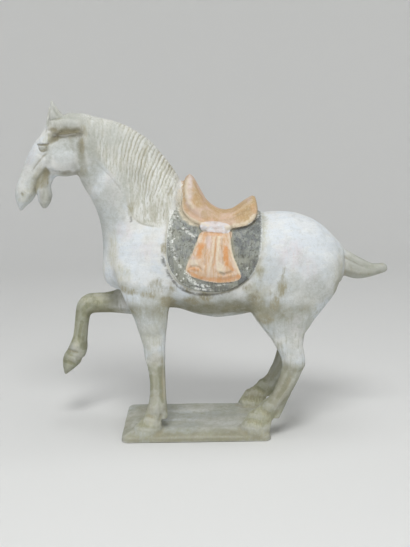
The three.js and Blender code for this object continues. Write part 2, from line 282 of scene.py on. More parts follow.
headDabs = {
    # [x, z, half length, half height, turn in degrees, height, side]
    "cheek": [-168, 374, 18, 17, 20, 1.2, 0],
    "cheekDent": [-166, 380, 9, 7, -30, -0.7, 0],
    "eyeBall": [-194.3, 385.4, 3.7, 3.1, 15, 1.5, 0],
    "pupil": [-191.5, 383.6, 1.5, 1.3, 30, -0.7, 0],
    "eyeSocket": [-193, 385, 8, 6.5, 20, -0.9, 0],
    "temple": [-172, 393, 8, 4, 12, -0.9, 0],
    "nostril": [-223.5, 326, 2.0, 2.4, 20, -2.0, 0],
    "nostrilWing": [-219.5, 328, 3.2, 4.5, 30, 1.1, 0],
    "muzzleDimple": [-213, 322, 2.6, 3.0, 0, -0.6, 0],
    "chin": [-195, 312, 5, 4.5, 0, 0.8, 0],
}
bodyStrokes = {
    "shoulderEdge": [[(-98, 205), (-84, 232), (-66, 258), (-48, 276)], 7, -0.7, 0],
    "elbowFold": [[(-30, 216), (-30, 200), (-36, 186)], 4, -1.0, 0],
    "flankFold": [[(84, 186), (96, 176), (110, 164)], 6, -1.0, 0],
    "flankHollow": [[(98, 246), (96, 220), (100, 198)], 10, -1.4, 0],
    "maneEdgeUpper": [[(-124, 366), (-116, 358), (-107, 349), (-97, 337), (-90, 326)], 1.3, -0.5, 0],
    "maneEdgeLower": [[(-76, 294), (-68, 288), (-58, 285), (-48, 284)], 1.3, -0.6, 0],
    "rump": [[(176, 246), (168, 222), (160, 204)], 9, -0.5, 0],
}
legStrokes = {
    "foreTendon": [[(-47, 104), (-46, 94), (-45, 74), (-46, 50)], 2.4, -1.0, -1],
    "foreTendonBack": [[(-40, 106), (-40, 84), (-40, 60), (-40, 42)], 2.4, 0.9, -1],
    "cannonFront": [[(-55, 96), (-54, 78), (-54, 60)], 2.6, 0.5, -1],
    "kneeSwell": [[(-60, 128), (-54, 126), (-46, 126)], 6.0, 0.7, -1],
    "kneeTop": [[(-70, 140), (-57, 142), (-41, 139)], 3.2, -0.8, -1],
    "kneeBottom": [[(-66, 110), (-55, 106), (-46, 107)], 4.0, -0.8, -1],
    "kneeHollow": [[(-48, 113), (-48, 104)], 3.6, -0.5, -1],
    "fetlockFore": [[(-61, 49), (-56, 46), (-48, 47)], 4.2, 1.3, -1],
    "pasternFore": [[(-64, 37), (-57, 36.5), (-49, 37)], 2.6, -1.0, -1],
    "coronetFore": [[(-71, 28), (-62, 30), (-50, 27)], 2.8, 1.3, -1],
    "underCoronetFore": [[(-78, 22), (-66, 22.5), (-50, 19)], 2.6, -0.4, -1],
    "tuftFore": [[(-42, 52), (-41, 40), (-40, 30)], 3.0, 1.0, -1],
    "tuftGroove": [[(-48, 50), (-47, 40), (-46, 30)], 1.6, -0.7, -1],
    "hockFront": [[(112, 118), (118, 106), (117, 92)], 3.4, -1.1, 0],
    "hockBone": [[(133, 122), (138, 112), (139, 102)], 4.4, 1.3, 0],
    "hockSwell": [[(122, 112), (128, 106)], 5.5, 0.9, 0],
    "hockBack": [[(131, 96), (130, 88), (127, 82)], 2.6, -1.1, 0],
    "hindTendon": [[(126, 92), (119, 74), (111, 60), (104, 50)], 2.6, -0.7, 0],
    "hindTendonBack": [[(133, 92), (127, 76), (119, 60)], 2.6, 0.7, 0],
    "cannonHind": [[(120, 92), (112, 74), (102, 58)], 2.8, 0.7, 0],
    "fetlockHind": [[(90, 50), (95, 46), (102, 44)], 5.0, 1.7, 0],
    "pasternHind": [[(78, 40), (86, 42), (98, 33)], 2.8, -0.9, 0],
    "coronetHind": [[(67, 31), (76, 36), (88, 33)], 4.2, 1.8, 0],
    "underCoronetHind": [[(60, 24), (72, 27), (90, 22)], 2.6, -0.9, 0],
    "toeHind": [[(64, 17), (74, 20), (84, 17)], 5.0, 1.5, 0],
    "heelHind": [[(92, 22), (97, 14)], 4.0, 1.0, 0],
    "raisedTop": [[(-150, 176), (-132, 177), (-114, 176)], 4.0, 0.5, 1],
    "raisedTendon": [[(-157, 146), (-161, 130), (-164, 114)], 1.9, -1.0, 1],
    "raisedTendonBack": [[(-151, 144), (-153, 128), (-155, 112)], 2.4, 0.8, 1],
    "raisedKnee": [[(-144, 171), (-154, 162), (-153, 150)], 3.4, -1.0, 1],
    "raisedKneeCap": [[(-163, 172), (-165, 160)], 4.0, 0.8, 1],
    "raisedFetlock": [[(-177, 111), (-169, 110), (-162, 108)], 3.8, 1.5, 1],
    "raisedPastern": [[(-183, 103), (-172, 101.5), (-163, 99)], 2.2, -1.6, 1],
    "raisedCoronet": [[(-186, 96), (-178, 94), (-168, 89)], 2.8, 1.5, 1],
    "underRaisedCoronet": [[(-188, 88), (-178, 86), (-168, 82)], 1.9, -0.9, 1],
    "raisedTuft": [[(-156, 104), (-157, 97), (-162, 91)], 2.6, 0.9, 1],
}
saddleStrokes = {
    "rim": [[(-13, 314), (-12, 304), (-4, 296), (8, 289.5), (22, 285)], 2.4, 1.0, 0],
    "rimRear": [[(46, 284), (60, 286), (72, 289.5), (80, 298), (83, 306)], 2.3, 1.0, 0],
    "rimHollow": [[(-7, 314), (-4, 304), (4, 298), (20, 292), (44, 291), (64, 295)], 3.6, -1.2, 0],
    "pommelRidge": [[(-5, 346), (-7, 332), (-5, 318), (1, 307)], 3.6, 1.4, 0],
    "pommelHollow": [[(4, 326), (6, 314), (12, 304)], 5.0, -1.0, 0],
    "cantleRidge": [[(78, 313), (70, 308), (60, 301), (50, 295)], 2.4, 1.5, 0],
    "underRidge": [[(79, 305), (71, 300), (62, 295)], 3.6, -1.6, 0],
    "seatEdge": [[(70, 316), (58, 308), (44, 303)], 2.6, -0.8, 0],
}
drapeStrokes = {
    "leftGroove": [[(19, 275), (17, 262), (15, 250), (15, 240), (13, 232)], 3.0, -1.6, 0],
    "pleatGroove1": [[(24, 274), (23, 262), (22.5, 252), (21, 246)], 1.2, -1.1, 0],
    "pleatGroove2": [[(31, 273), (28.5, 259), (27, 246), (25, 236)], 1.2, -1.1, 0],
    "pleatGroove3": [[(38, 273), (37, 263), (37, 250), (38, 240), (36, 232)], 1.5, -1.1, 0],
    "pleatRidge1": [[(27.5, 273), (26, 259), (24, 246), (20, 230)], 1.4, 0.9, 0],
    "pleatRidge2": [[(34, 273), (33, 259), (32, 246), (32, 229)], 1.5, 0.9, 0],
    "pleatRidge3": [[(43, 272), (43, 258), (45, 244), (48, 232)], 2.2, 0.7, 0],
    "leftPanel": [[(12, 268), (6, 254), (2, 242), (1, 236)], 3.4, 0.9, 0],
    "leftFold": [[(-7, 230.5), (-3, 233.5), (3, 234.5), (9, 232), (12, 227)], 1.2, -1.8, 0],
    "leftFoldLip": [[(-8, 227), (-3, 230), (3, 231), (8, 228)], 1.6, 1.1, 0],
    "rightFold": [[(33, 226.5), (38, 224), (44, 224.5), (50, 227)], 1.4, -1.6, 0],
    "rightFoldLip": [[(30, 223.5), (36, 220.5), (42, 220.5), (50, 222.5), (57, 221.5)], 1.6, 1.0, 0],
    "rightFoldTop": [[(27, 232), (33, 228.5), (41, 228), (49, 230)], 2.0, 0.9, 0],
    "knotDip": [[(29, 291), (29, 283), (29.5, 275)], 1.8, -0.8, 0],
    "knotFold1": [[(17, 286), (22, 283), (26, 281)], 1.0, -0.7, 0],
    "knotFold2": [[(33, 281), (38, 283), (43, 286)], 1.0, -0.7, 0],
    "knotLow": [[(12, 276.5), (28, 275.5), (46, 274.5)], 1.4, -1.6, 0],
    "hemLip": [[(-8, 224), (6, 218), (26, 214.5), (46, 214.5), (58, 219)], 1.8, 0.8, 0],
    "clothGroove": [[(-32, 262), (-31, 240), (-24, 224), (-10, 211), (8, 204.5), (28, 203), (46, 205),
                     (60, 213)], 1.5, -0.8, 0],
}
tailStrokes = {
    "topRidge": [[(196, 245), (214, 235), (232, 227), (248, 222), (258, 224)], 3.2, 0.7, 0],
    "sideLine": [[(200, 237), (208, 231.5), (215, 228), (224, 223.5), (236, 220)], 1.5, -0.8, 0],
    "sideSwell": [[(206, 219), (220, 214), (234, 213)], 5.0, 0.4, 0],
    "lowerDip": [[(244, 212), (252, 214)], 3.0, -0.5, 0],
}


# The points of a side that lie near a side-view path, how far from it they are and how far along it
def nearPath(points, outward, path, reach, side):
    x, y, z = points.T
    line = roundedLine(path)
    (lowX, lowZ), (highX, highZ) = line.min(axis=0) - reach, line.max(axis=0) + reach
    near = (x > lowX) & (x < highX) & (z > lowZ) & (z < highZ) & (outward > 0) & (y * side >= 0)
    distance, along = lineDistance(x[near], z[near], line)
    return near, distance, along


# The squared distance of each point from the middle of a turned oval, where 1 is the oval's edge
def ovalReach(points, oval):
    midX, midZ, halfLength, halfHeight, turn = oval
    x, z = points[:, 0] - midX, points[:, 2] - midZ
    c, s = math.cos(math.radians(turn)), math.sin(math.radians(turn))
    u = (x * c + z * s) / halfLength
    v = (z * c - x * s) / halfHeight
    return u * u + v * v


# A stroke is cut off at `reach` half widths, and it thins to `endShare` of its height at its ends
strokeShape = {"reach": 3, "endShare": 0.15, "start": (-0.02, 0.16), "end": (1.02, 0.84),
               "facing": (0.05, 0.45)}


def strokeHeights(points, outward, strokes):
    heights = np.zeros(len(points))
    for path, width, height, side in strokes.values():
        near, distance, along = nearPath(points, outward, path, strokeShape["reach"] * width, side)
        taper = np.minimum(ease(along, *strokeShape["start"]), ease(along, *strokeShape["end"]))
        thinning = strokeShape["endShare"] + (1 - strokeShape["endShare"]) * taper
        facing = ease(outward[near], *strokeShape["facing"])
        heights[near] += height * np.exp(-(distance / width) ** 2) * thinning * facing
    return heights


def dabHeights(points, outward, dabs):
    heights = np.zeros(len(points))
    for *oval, height, side in dabs.values():
        reach = ovalReach(points, oval)
        near = (reach < 6) & (points[:, 1] * side >= 0)
        heights[near] += height * np.exp(-reach[near]) * ease(outward[near], 0.0, 0.4)
    return heights


# The mane: strands run from the crest down, leaning back towards the head and then hanging straight.
# The lists follow the crest's points. Past the last one, strands start as far `beyond` it, back and
# down, for each further length of the crest.
maneHair = {
    "crest": [(-148, 432), (-124, 425), (-93, 417), (-62, 400), (-41, 379), (-26, 359), (-16, 342)],
    "lean": [0.0, 0.08, 0.30, 0.56, 0.64, 0.62, 0.55],
    "length": [60, 60, 60, 60, 64, 70, 70],
    "depth": [0.45, 0.6, 1.0, 1.4, 1.5, 1.4, 1.1],
    "first": -0.03,
    "last": 1.08,
    "steps": 64,
    "beyond": (120, 140),
    "swing": 0.13,
    "swingFrom": 25,
    "strands": 29,
    "sharpness": 0.75,
    "middle": 0.62,
    "height": 1.15,
    "evenDepth": 0.80,
    "endFade": 0.15,
}


# Which strand each point lies on, counted along the crest, and how deep the grooves are there
def strandPlace(points):
    crest = roundedLine(maneHair["crest"], parts=12)
    walked = np.concatenate([[0], np.cumsum(np.hypot(*np.diff(crest, axis=0).T))])
    walked /= walked[-1]
    keys = np.linspace(0, 1, len(maneHair["crest"]))
    evenly = np.linspace(0, 1, len(walked))
    at = np.linspace(maneHair["first"], maneHair["last"], maneHair["steps"])
    past = np.maximum(at - 1, 0)
    crestX = np.interp(at, walked, crest[:, 0]) + past * maneHair["beyond"][0]
    crestZ = np.interp(at, walked, crest[:, 1]) - past * maneHair["beyond"][1]
    byPlace = np.interp(at, walked, evenly)
    lean, length = (np.interp(byPlace, keys, maneHair[k]) for k in ("lean", "length"))
    x, z = points[:, 0], points[:, 2]
    place = np.full(len(points), np.nan)
    previous = None
    for i in range(len(at)):
        fall = np.clip(crestZ[i] - z, 0, length[i])
        below = np.maximum(crestZ[i] - z - length[i], 0)
        strandX = crestX[i] - lean[i] * (fall - fall * fall / (2 * length[i]))
        strandX += maneHair["swing"] * below * below / (below + maneHair["swingFrom"])
        gap = x - strandX
        if previous is not None:
            between = (previous >= 0) & (gap < 0)
            share = previous[between] / (previous[between] - gap[between])
            place[between] = at[i - 1] + share * (at[i] - at[i - 1])
        previous = gap
    place[np.isnan(place)] = -1
    depth = np.interp(np.interp(place, walked, evenly), keys, maneHair["depth"])
    return place, depth


# A place for each point that is stretched along its own strand
def alongStrand(points, phase, spread, squeeze):
    return np.stack([phase * spread, points[:, 2] / squeeze, 0 * phase], 1)


def hairProfile(points, depths):
    place, depth = strandPlace(points)
    waver = unevenness(points, "strandWaver") + unevenness(points, "strandWaverFine")
    phase = place * maneHair["strands"] + waver
    ridge = np.abs(np.sin(np.pi * phase)) ** maneHair["sharpness"]
    byStrand = alongStrand(points, np.floor(phase), 7.3, 3)
    strength = maneHair["evenDepth"] + unevenness(byStrand, "strandDepth")
    strength *= 1 - maneHair["endFade"] * ease(points[:, 2], 330, 290)
    show = ease(depths["mane"], 0.5, 5) * (place > -0.5) * strength
    return ridge, show * depth, phase


# How far each point faces out to the side; on the legs the inner faces count as well
def outwardFacing(points, normals, legTop=195):
    outward = normals[:, 1] * np.sign(points[:, 1])
    return np.where(points[:, 2] < legTop, np.abs(normals[:, 1]), outward)


drapeInside = 33  # nothing of the drapes and knots lies nearer to the horse's middle plane
strokedLegs = 200  # strokes on the legs end below this height


def carvedHeights(points, normals, depths):
    x, y, z = points.T
    outward = outwardFacing(points, normals)
    heights = np.zeros(len(points))
    for strokes in (headStrokes, bodyStrokes, saddleStrokes, tailStrokes):
        heights += strokeHeights(points, outward, strokes)
    heights += strokeHeights(points, outward, legStrokes) * (z < strokedLegs)
    heights += strokeHeights(points, outward, drapeStrokes) * (np.abs(y) > drapeInside)
    heights += dabHeights(points, outward, headDabs)
    ridge, depth, _ = hairProfile(points, depths)
    heights += (ridge - maneHair["middle"]) * depth * maneHair["height"]
    # handmade unevenness, and the slab's worn sides
    heights += unevenness(points, "body") + unevenness(points, "bodyMiddle")
    heights += unevenness(points, "bodyFine")
    heights += ease(z, 17, 14.5) * (unevenness(points, "slabSides") - 0.25) * ease(z, 0.5, 3)
    return heights


def copyOfNode(name):
    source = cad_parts[name]
    mesh = source.data.copy()
    mesh.transform(source.matrix_world)
    mesh.materials.clear()
    work = bmesh.new()
    work.from_mesh(mesh)
    bmesh.ops.remove_doubles(work, verts=work.verts[:], dist=1e-6)
    work.to_mesh(mesh)
    work.free()
    piece = bpy.data.objects.new(name + "_copy", mesh)
    bpy.context.scene.collection.objects.link(piece)
    return piece


# Puts a modifier's result into the piece's own mesh
def applied(piece, kind, **settings):
    modifier = piece.modifiers.new(kind.lower(), kind)
    for name, value in settings.items():
        setattr(modifier, name, value)
    depsgraph = bpy.context.evaluated_depsgraph_get()
    mesh = bpy.data.meshes.new_from_object(piece.evaluated_get(depsgraph))
    piece.modifiers.clear()
    old = piece.data
    piece.data = mesh
    bpy.data.meshes.remove(old)
    return mesh


def storeMark(mesh, name, values):
    mark = mesh.attributes.new(name, "FLOAT", "POINT")
    mark.data.foreach_set("value", values.astype(np.float32))


# How far each point lies below the even surface round it, in millimetres; negative on edges
def hollowness(points, normals, neighbours):
    even = neighbours.relax(points, *horseBuild["hollowEvening"])
    hollow = np.sum((even - points) * normals, axis=1)
    return neighbours.relax(hollow[:, None], *horseBuild["hollowSoftening"])[:, 0]


# Lengths in mm; a weight is the share of the way to its neighbours' mean that a pass moves a point
horseBuild = {
    "voxel": 1.15,
    "evening": 8.5,
    "weight": 0.9,
    "finishing": (0.35, 2),  # weight and passes, here and below
    "hollowEvening": (0.8, 9),
    "hollowSoftening": (0.6, 2),
    "triangles": 192000,
}


def buildHorse():
    horse = copyOfNode("horse_figure")
    mesh = applied(horse, "REMESH", mode="VOXEL", voxel_size=horseBuild["voxel"] / 1000, adaptivity=0)
    print("remeshed to", len(mesh.vertices), "points")
    points = readPoints(mesh)
    neighbours = Neighbours(mesh)
    depths = formDepths(points)
    radius = eveningRadius(points, depths)
    widest = horseBuild["evening"]
    passes = round(widest ** 2 / (horseBuild["weight"] / 2 * horseBuild["voxel"] ** 2))
    weight = horseBuild["weight"] * (radius / widest) ** 2
    even = neighbours.relax(points, weight, passes)
    even += neighbours.relax(points - even, weight, passes)
    even[:, 2] = np.maximum(even[:, 2], 0)
    writePoints(mesh, slumped(even))
    print("evened out in", passes, "passes")

    points, normals = readPoints(mesh), readNormals(mesh)
    depths = formDepths(points)
    heights = carvedHeights(points, normals, depths)
    heights *= ease(points[:, 2], 0.2, 2)
    points += normals * heights[:, None]
    points = neighbours.relax(points, *horseBuild["finishing"])
    points[:, 2] = np.maximum(points[:, 2], 0)
    writePoints(mesh, points)
    storeMark(mesh, "hollow", hollowness(points, readNormals(mesh), neighbours))
    print("carved")

    ratio = horseBuild["triangles"] / (2 * len(mesh.polygons))
    mesh = applied(horse, "DECIMATE", ratio=ratio, use_collapse_triangulate=True)
    mesh.shade_smooth()
    print("reduced to", len(mesh.polygons), "triangles")
    horse.name = "horse"
    mesh.name = "horse"
    return horse


horse = buildHorse()


# Soft patches of soiling, tint and painted shade are [x, z, half length, half height, turn in degrees,
# strength, side] as the dabs are, and painted lines, worn lines and lines of painted shade and highlight are
# [path, half width, strength, side] as the strokes are.
soilAndShadePatches = {
    # grey grime; the belly and leg patches are painted shade as well
    "grimeAndShade": {
        "neckRear": [-126, 360, 17, 20, -40, 0.9, 0],
        "neck": [-104, 310, 26, 66, -26, 0.8, 0],
        "cheekRear": [-150, 372, 9, 20, 0, 0.45, 0],
        "nose": [-212, 352, 18, 40, -25, 0.4, 0],
        "chestLow": [-78, 203, 34, 8, -8, 0.75, 0],
        "thigh": [122, 172, 50, 34, 10, 0.85, 0],
        "buttock": [182, 208, 22, 42, -10, 0.55, 0],
        "belly": [24, 180, 110, 16, 0, 0.95, 0],
        "foreleg": [-58, 158, 34, 40, 0, 0.8, 0],
        "flank": [98, 212, 26, 40, 0, 0.4, 0],
        "tail": [226, 222, 40, 22, -20, 0.8, 0],
        "clothTop": [88, 290, 6, 12, 0, 0.8, 0],
        "cap": [-164, 424, 30, 13, 0, 0.95, 0],
        "ear": [-174, 434, 9, 14, 0, 0.95, 0],
        "poll": [-118, 404, 34, 20, -12, 0.8, 0],
        "crest": [-62, 384, 26, 26, -35, 0.35, 0],
        "throat": [-133, 349, 13, 24, -34, 0.95, 0],
        "temple": [-178, 390, 13, 7, 22, 0.75, 0],
        "cheek": [-166, 378, 20, 18, 0, 0.6, 0],
        "jaw": [-195, 318, 10, 16, 0, 0.9, 0],
        "eye": [-193, 385, 6, 5, 0, 0.8, 0],
        "rumpLow": [160, 198, 34, 24, -20, 0.85, 0],
        "hock": [128, 112, 16, 16, 0, 0.5, 0],
        "behindCheek": [-144, 372, 7, 20, -6, 0.9, 0],
        "kneeFront": [-58, 126, 16, 12, 0, 0.5, 0],
        "slabTop": [0, 16, 130, 6, 0, 0.35, 0],
        "cheekUpper": [-160, 391, 24, 13, 0, 1.0, 0],
        "pollRear": [-130, 384, 11, 30, 0, 1.0, 0],
        "forelegMid": [-56, 146, 26, 22, 0, 0.75, 0],
        "hindShank": [116, 76, 16, 36, -24, 0.6, 0],
        "cheekFront": [-186, 376, 6, 14, 0, 0.85, 0],
        "rumpMid": [150, 232, 26, 20, 0, 0.3, 0],
        "mane": [-100, 392, 30, 20, -14, 0.5, 0],
        "rumpFront": [126, 204, 16, 26, 0, 0.8, 0],
    },
    # painted shade: under the belly, cheek, jaw and raised leg, round the eye and brow, below the hair cap,
    # on the far side and low on the slab's front; the smaller patches on the ear, cap and tail darken the
    # tone
    "paintedShade": {
        "belly": [24, 174, 120, 13, 0, 0.95, 0],
        "capUnder": [-162, 405.5, 24, 6, 0, 1.0, 0],
        "capEnd": [-180, 409, 9, 2.6, 0, 0.7, 0],
        "browUnder": [-168, 403, 12, 5, 10, 1.0, 0],
        "jaw": [-191, 354, 6, 8, 0, 1.0, 0],
        "mouth": [-195, 345, 5, 12, -28, 0.85, 0],
        "throat": [-146, 352, 14, 6, 0, 0.6, 0],
        "cheekUnder": [-162, 351, 26, 5.5, 0, 0.65, 0],
        "raisedUnder": [-122, 158, 36, 6, 0, 0.55, 1],
        "farHind": [106, 74, 26, 60, -20, 0.25, 1],
        "hindCannon": [112, 68, 15, 36, -25, 0.85, -1],
        "foreRear": [-44, 78, 4, 34, 0, 0.6, -1],
        "rumpRear": [196, 196, 12, 30, -16, 0.4, 0],
        "farBody": [20, 190, 160, 20, 0, 0.6, 1],
        "eye": [-192, 384.5, 6, 5, 0, 0.7, 0],
        "browLow": [-182, 396, 9, 4, 40, 0.8, 0],
        "jawLow": [-196, 322, 10, 22, 0, 0.5, 0],
        "lipSide": [-206, 341, 6, 20, -32, 0.22, 0],
        "slabFront": [0, 5, 140, 8, 0, 0.8, 0],
        "raisedCrease": [-172, 102, 9, 3, -15, 0.5, 1],
        "raisedFoot": [-176, 88, 8, 4, -20, 0.2, 1],
        "hindFace": [98, 76, 5, 26, -28, 0.6, -1],
        "ear": [-173, 431, 6, 9, 20, 0.3, 0],
        "raisedRear": [-150, 128, 5, 24, 6, 0.3, 1],
        "cheekRear": [-143, 380, 6, 28, 0, 0.6, 0],
        "eyeRear": [-189, 388, 4, 5, 0, 0.7, 0],
        "cap": [-162, 421, 26, 10, 0, 0.15, 0],
        "kneeFore": [-52, 108, 10, 12, 0, 0.3, -1],
        "bandLow": [-160, 402.5, 22, 6.5, -2, 1.0, 0],
        "cheekRearLow": [-142, 364, 8, 14, 0, 0.5, 0],
        "tail": [226, 222, 40, 22, -20, 0.2, 0],
        "foreShank": [-52, 70, 16, 44, 0, 0.25, -1],
        "neckSide": [-129, 374, 12, 26, 0, 0.3, 0],
        "slabTop": [0, 16, 130, 6, 0, 0.15, 0],
    },
    # the darkest painted shadow: the band under the hair cap's roll, the brow's underside and behind the
    # cheek
    "paintedDeepShadow": {
        "band": [-162, 404.4, 26, 5.6, 5, 1.0, 0],
        "browUnder": [-175, 399.5, 10, 4, 34, 0.8, 0],
        "cheekRear": [-144, 392, 4, 14, 0, 0.45, 0],
        "bandFront": [-178, 407.5, 8, 4.5, -8, 0.75, 0],
        "bandRear": [-143, 404, 6, 5, 0, 0.8, 0],
    },
    "cool": {
        "cheek": [-166, 378, 16, 15, 0, 0.9, 0],
        "neckFront": [-116, 306, 14, 40, -20, 0.7, 0],
        "throat": [-118, 268, 8, 40, 0, 0.8, 0],
        "breast": [-72, 226, 24, 14, 0, 0.8, 0],
        "shoulder": [-92, 252, 14, 18, 0, 0.4, 0],
        "rumpRear": [160, 232, 24, 36, 0, 1.0, 0],
        "rumpTop": [150, 276, 46, 16, -20, 0.7, 0],
        "flankBlue": [98, 232, 8, 26, 0, 0.8, 0],
        "thighLow": [112, 148, 14, 16, 30, 0.8, 0],
        "bellyBlue": [30, 186, 16, 10, 0, 0.9, 0],
        "armBlue": [-36, 200, 8, 7, 0, 0.7, 0],
        "maneBlue": [-98, 384, 10, 30, 0, 0.5, 0],
    },
    "straw": {
        "hairCap": [-164, 420, 26, 9, 0, 1.0, 0],
        "brow": [-186, 398, 12, 8, 35, 0.9, 0],
        "ear": [-174, 431, 6, 9, 20, 0.5, 0],
        "mouth": [-206, 341, 10, 25, -30, 1.0, 0],
        "muzzle": [-216, 325, 12, 10, 20, 0.7, 0],
        "jaw": [-193, 322, 8, 16, 0, 0.45, 0],
        "crestHair": [-60, 388, 22, 22, -35, 0.45, 0],
        "witherHair": [-32, 352, 12, 24, -20, 0.9, 0],
        "maneFoot": [-46, 304, 16, 20, 0, 0.7, 0],
        "maneMiddle": [-78, 352, 40, 44, -30, 0.25, 0],
        "chestStreak": [-104, 256, 7, 34, 0, 0.75, -1],
        "chestFoot": [-94, 224, 12, 14, 20, 0.7, 0],
        "behindCloth": [92, 276, 6, 26, 0, 0.85, 0],
        "clothCorner": [82, 226, 10, 14, 0, 0.9, 0],
        "stifle": [80, 196, 16, 16, 0, 0.8, 0],
        "groin": [88, 168, 16, 14, -30, 0.6, 0],
        "rearEdge": [188, 210, 8, 40, -14, 0.9, 0],
        "thighRear": [150, 166, 10, 26, -10, 0.6, 0],
        "forelegRear": [-40, 168, 12, 34, 0, 0.9, 0],
        "forelegFace": [-54, 186, 26, 10, 0, 0.3, 0],
        # a painted highlight along the raised leg's top edge
        "raisedLeg": [-140, 176, 30, 7, 0, 0.8, 1],
        "raisedCannon": [-170, 134, 5, 34, 6, 0.8, 1],
        "shins": [-54, 76, 8, 40, 0, 0.35, 0],
        "hoofFore": [-66, 24, 28, 18, 0, 0.7, 0],
        "hindShins": [112, 72, 12, 34, -24, 0.25, 0],
        "hoofHind": [82, 24, 30, 22, 0, 0.9, 0],
        "tailLow": [226, 214, 30, 8, 0, 0.5, 0],
        "slabFront": [0, 6, 140, 7, 0, 0.9, 0],
        "slabCorner": [82, 10, 20, 10, 0, 0.8, 0],
        "kneeBand": [-56, 138, 20, 16, 0, 0.8, 0],
    },
    "earth": {
        "bellyFront": [-3, 187, 16, 7, -8, 0.85, -1],
        "bellyMiddle": [15, 193, 11, 10, 10, 1.0, -1],
        "bellyEdge": [20, 184, 10, 5, 10, 0.5, -1],
        "underClothFront": [-9, 202, 9, 5, -25, 0.75, -1],
        "bellyRear": [50, 176, 20, 6, 8, 0.5, -1],
        "stifle": [78, 191, 12, 12, 0, 0.85, -1],
        "underCloth": [68, 204, 9, 7, 30, 0.7, -1],
        "behindCloth": [84, 226, 7, 14, 10, 0.85, -1],
        "groinSpot": [91, 162, 12, 8, -20, 0.9, -1],
        "flankTop": [116, 222, 3.8, 13, -8, 0.85, -1],
        "flankMiddle": [114, 203, 6.5, 15, -4, 0.9, -1],
        "flankLow": [105, 184, 8, 14, -12, 0.9, -1],
        "flankFar": [143, 193, 12, 5, 20, 0.35, -1],
        "thighSpot": [119, 160, 6, 6, 0, 0.45, -1],
        "thighSpot2": [146, 176, 7, 8, 0, 0.4, -1],
        "rumpEdge": [185, 200, 6, 16, -16, 0.45, -1],
        "clothFront": [-38, 256, 5, 9, 0, 0.9, -1],
        "neckLow": [-80, 306, 8, 14, -14, 0.8, -1],
        "neckLow2": [-86, 318, 9, 8, 0, 0.4, -1],
        "elbow": [-48, 205, 15, 13, 0, 0.7, -1],
        "armpit": [-29, 203, 12, 9, 0, 0.55, -1],
        "creaseFront": [-84, 201, 16, 5, -12, 0.8, -1],
        "creaseMiddle": [-60, 196, 16, 5, -12, 0.8, -1],
        "creaseRear": [-34, 184, 14, 8, -24, 1.0, -1],
        "capFront": [-180, 409.5, 10, 5, -8, 0.6, 0],
        "capMiddle": [-166, 408, 15, 6, 0, 0.55, 0],
        "capRear": [-150, 409, 12, 5.4, 0, 0.4, 0],
        "capTurn": [-139, 405, 5, 9, 0, 0.9, 0],
        "behindCheek": [-142, 392, 4, 16, 0, 0.8, 0],
        "browUnder": [-173, 399, 13, 4, 36, 0.9, 0],
        "jaw": [-190, 354, 6, 8, 0, 0.9, 0],
        "jawLow": [-193, 344, 6, 11, -20, 0.8, 0],
        "mouth": [-199, 338, 4.5, 10, -30, 0.8, 0],
        "lip": [-211, 330, 4, 9, -32, 0.4, 0],
        "cheekFoot": [-170, 355, 20, 2.4, 0, 0.45, 0],
        "throatCorner": [-144, 357, 14, 6, 0, 0.5, 0],
        "throatSpot": [-135, 355, 4, 5, 0, 0.4, 0],
        "hairStreak1": [-115, 405, 3, 12, 0, 0.45, 0],
        "hairStreak2": [-61, 383, 4, 16, -12, 0.55, 0],
        "hairStreak3": [-45, 372, 6, 14, -25, 0.4, 0],
        "hairStreak4": [-31, 356, 6, 12, -20, 0.55, 0],
        "hairStreak5": [-30, 328, 6, 8, -20, 0.65, 0],
        "hairStreak6": [-38, 312, 4, 8, 0, 0.55, 0],
        "hairStreak7": [-50, 300, 5, 16, 0, 0.45, 0],
        "pollTop": [-134, 418, 16, 6, -8, 0.3, 0],
        "forelegBack": [-42, 76, 3.2, 34, 0, 0.9, -1],
        "forelegKnee": [-50, 108, 9, 13, 0, 0.4, -1],
        "forelegFoot": [-58, 44, 7, 7, 0, 0.5, -1],
        "pasternFore": [-58, 34, 12, 4, 0, 0.75, -1],
        "tuftFore": [-43, 40, 5, 12, 0, 0.45, -1],
        "hoofForeSpot": [-72, 16, 10, 5, 0, 0.35, 0],
        "hoofHindSpot": [74, 14, 14, 6, 0, 0.35, 0],
        "hindCannon": [123, 80, 5, 9, -20, 0.65, -1],
        "hindCannonLow": [110, 66, 6, 12, -25, 0.35, -1],
        "farHindInside": [98, 62, 16, 14, 0, 0.6, 1],
        "farHindHoof": [82, 34, 18, 12, 0, 0.6, 1],
        "farHindHock": [124, 112, 16, 20, 0, 0.6, 1],
        "raisedUnder": [-124, 157, 36, 6, 0, 0.4, 1],
        "raisedCentre": [-160, 132, 3.6, 26, 6, 0.3, 1],
        "raisedFoot": [-172, 102, 9, 4, 0, 0.2, 1],
        "slabFront": [0, 3, 110, 4, 0, 0.2, 0],
        "farFlank": [104, 214, 12, 34, 6, 0.5, 1],
        "farBelly": [-6, 186, 30, 12, 0, 0.6, 1],
        "farShoulder": [-70, 230, 12, 22, 0, 0.35, 1],
        "lipSide": [-205, 344, 5, 18, -30, 0.55, 0],
        "faceSide": [-203, 350, 8, 22, -30, 0.5, 0],
        "stifleRear": [96, 196, 10, 8, 0, 0.5, -1],
        "tailUnder": [224, 213, 20, 3.5, -4, 0.45, 0],
        "tailSpot": [211, 219, 4, 6, 0, 0.5, 0],
        "tailTip": [253, 226, 4, 4, 0, 0.6, 0],
        "muzzleSide": [-206, 334, 7, 16, -30, 0.75, 0],
    },
    "pink": {
        "forelegStreak": [-73, 163, 2.4, 12, 4, 0.8, -1],
        "forelegStreak2": [-54, 172, 2.0, 12, 0, 0.7, -1],
        "neckPink": [-100, 330, 12, 26, -10, 0.45, -1],
        "maneFootPink": [-106, 348, 8, 14, -30, 0.5, -1],
        "shoulderPink": [-60, 254, 20, 14, 0, 0.6, -1],
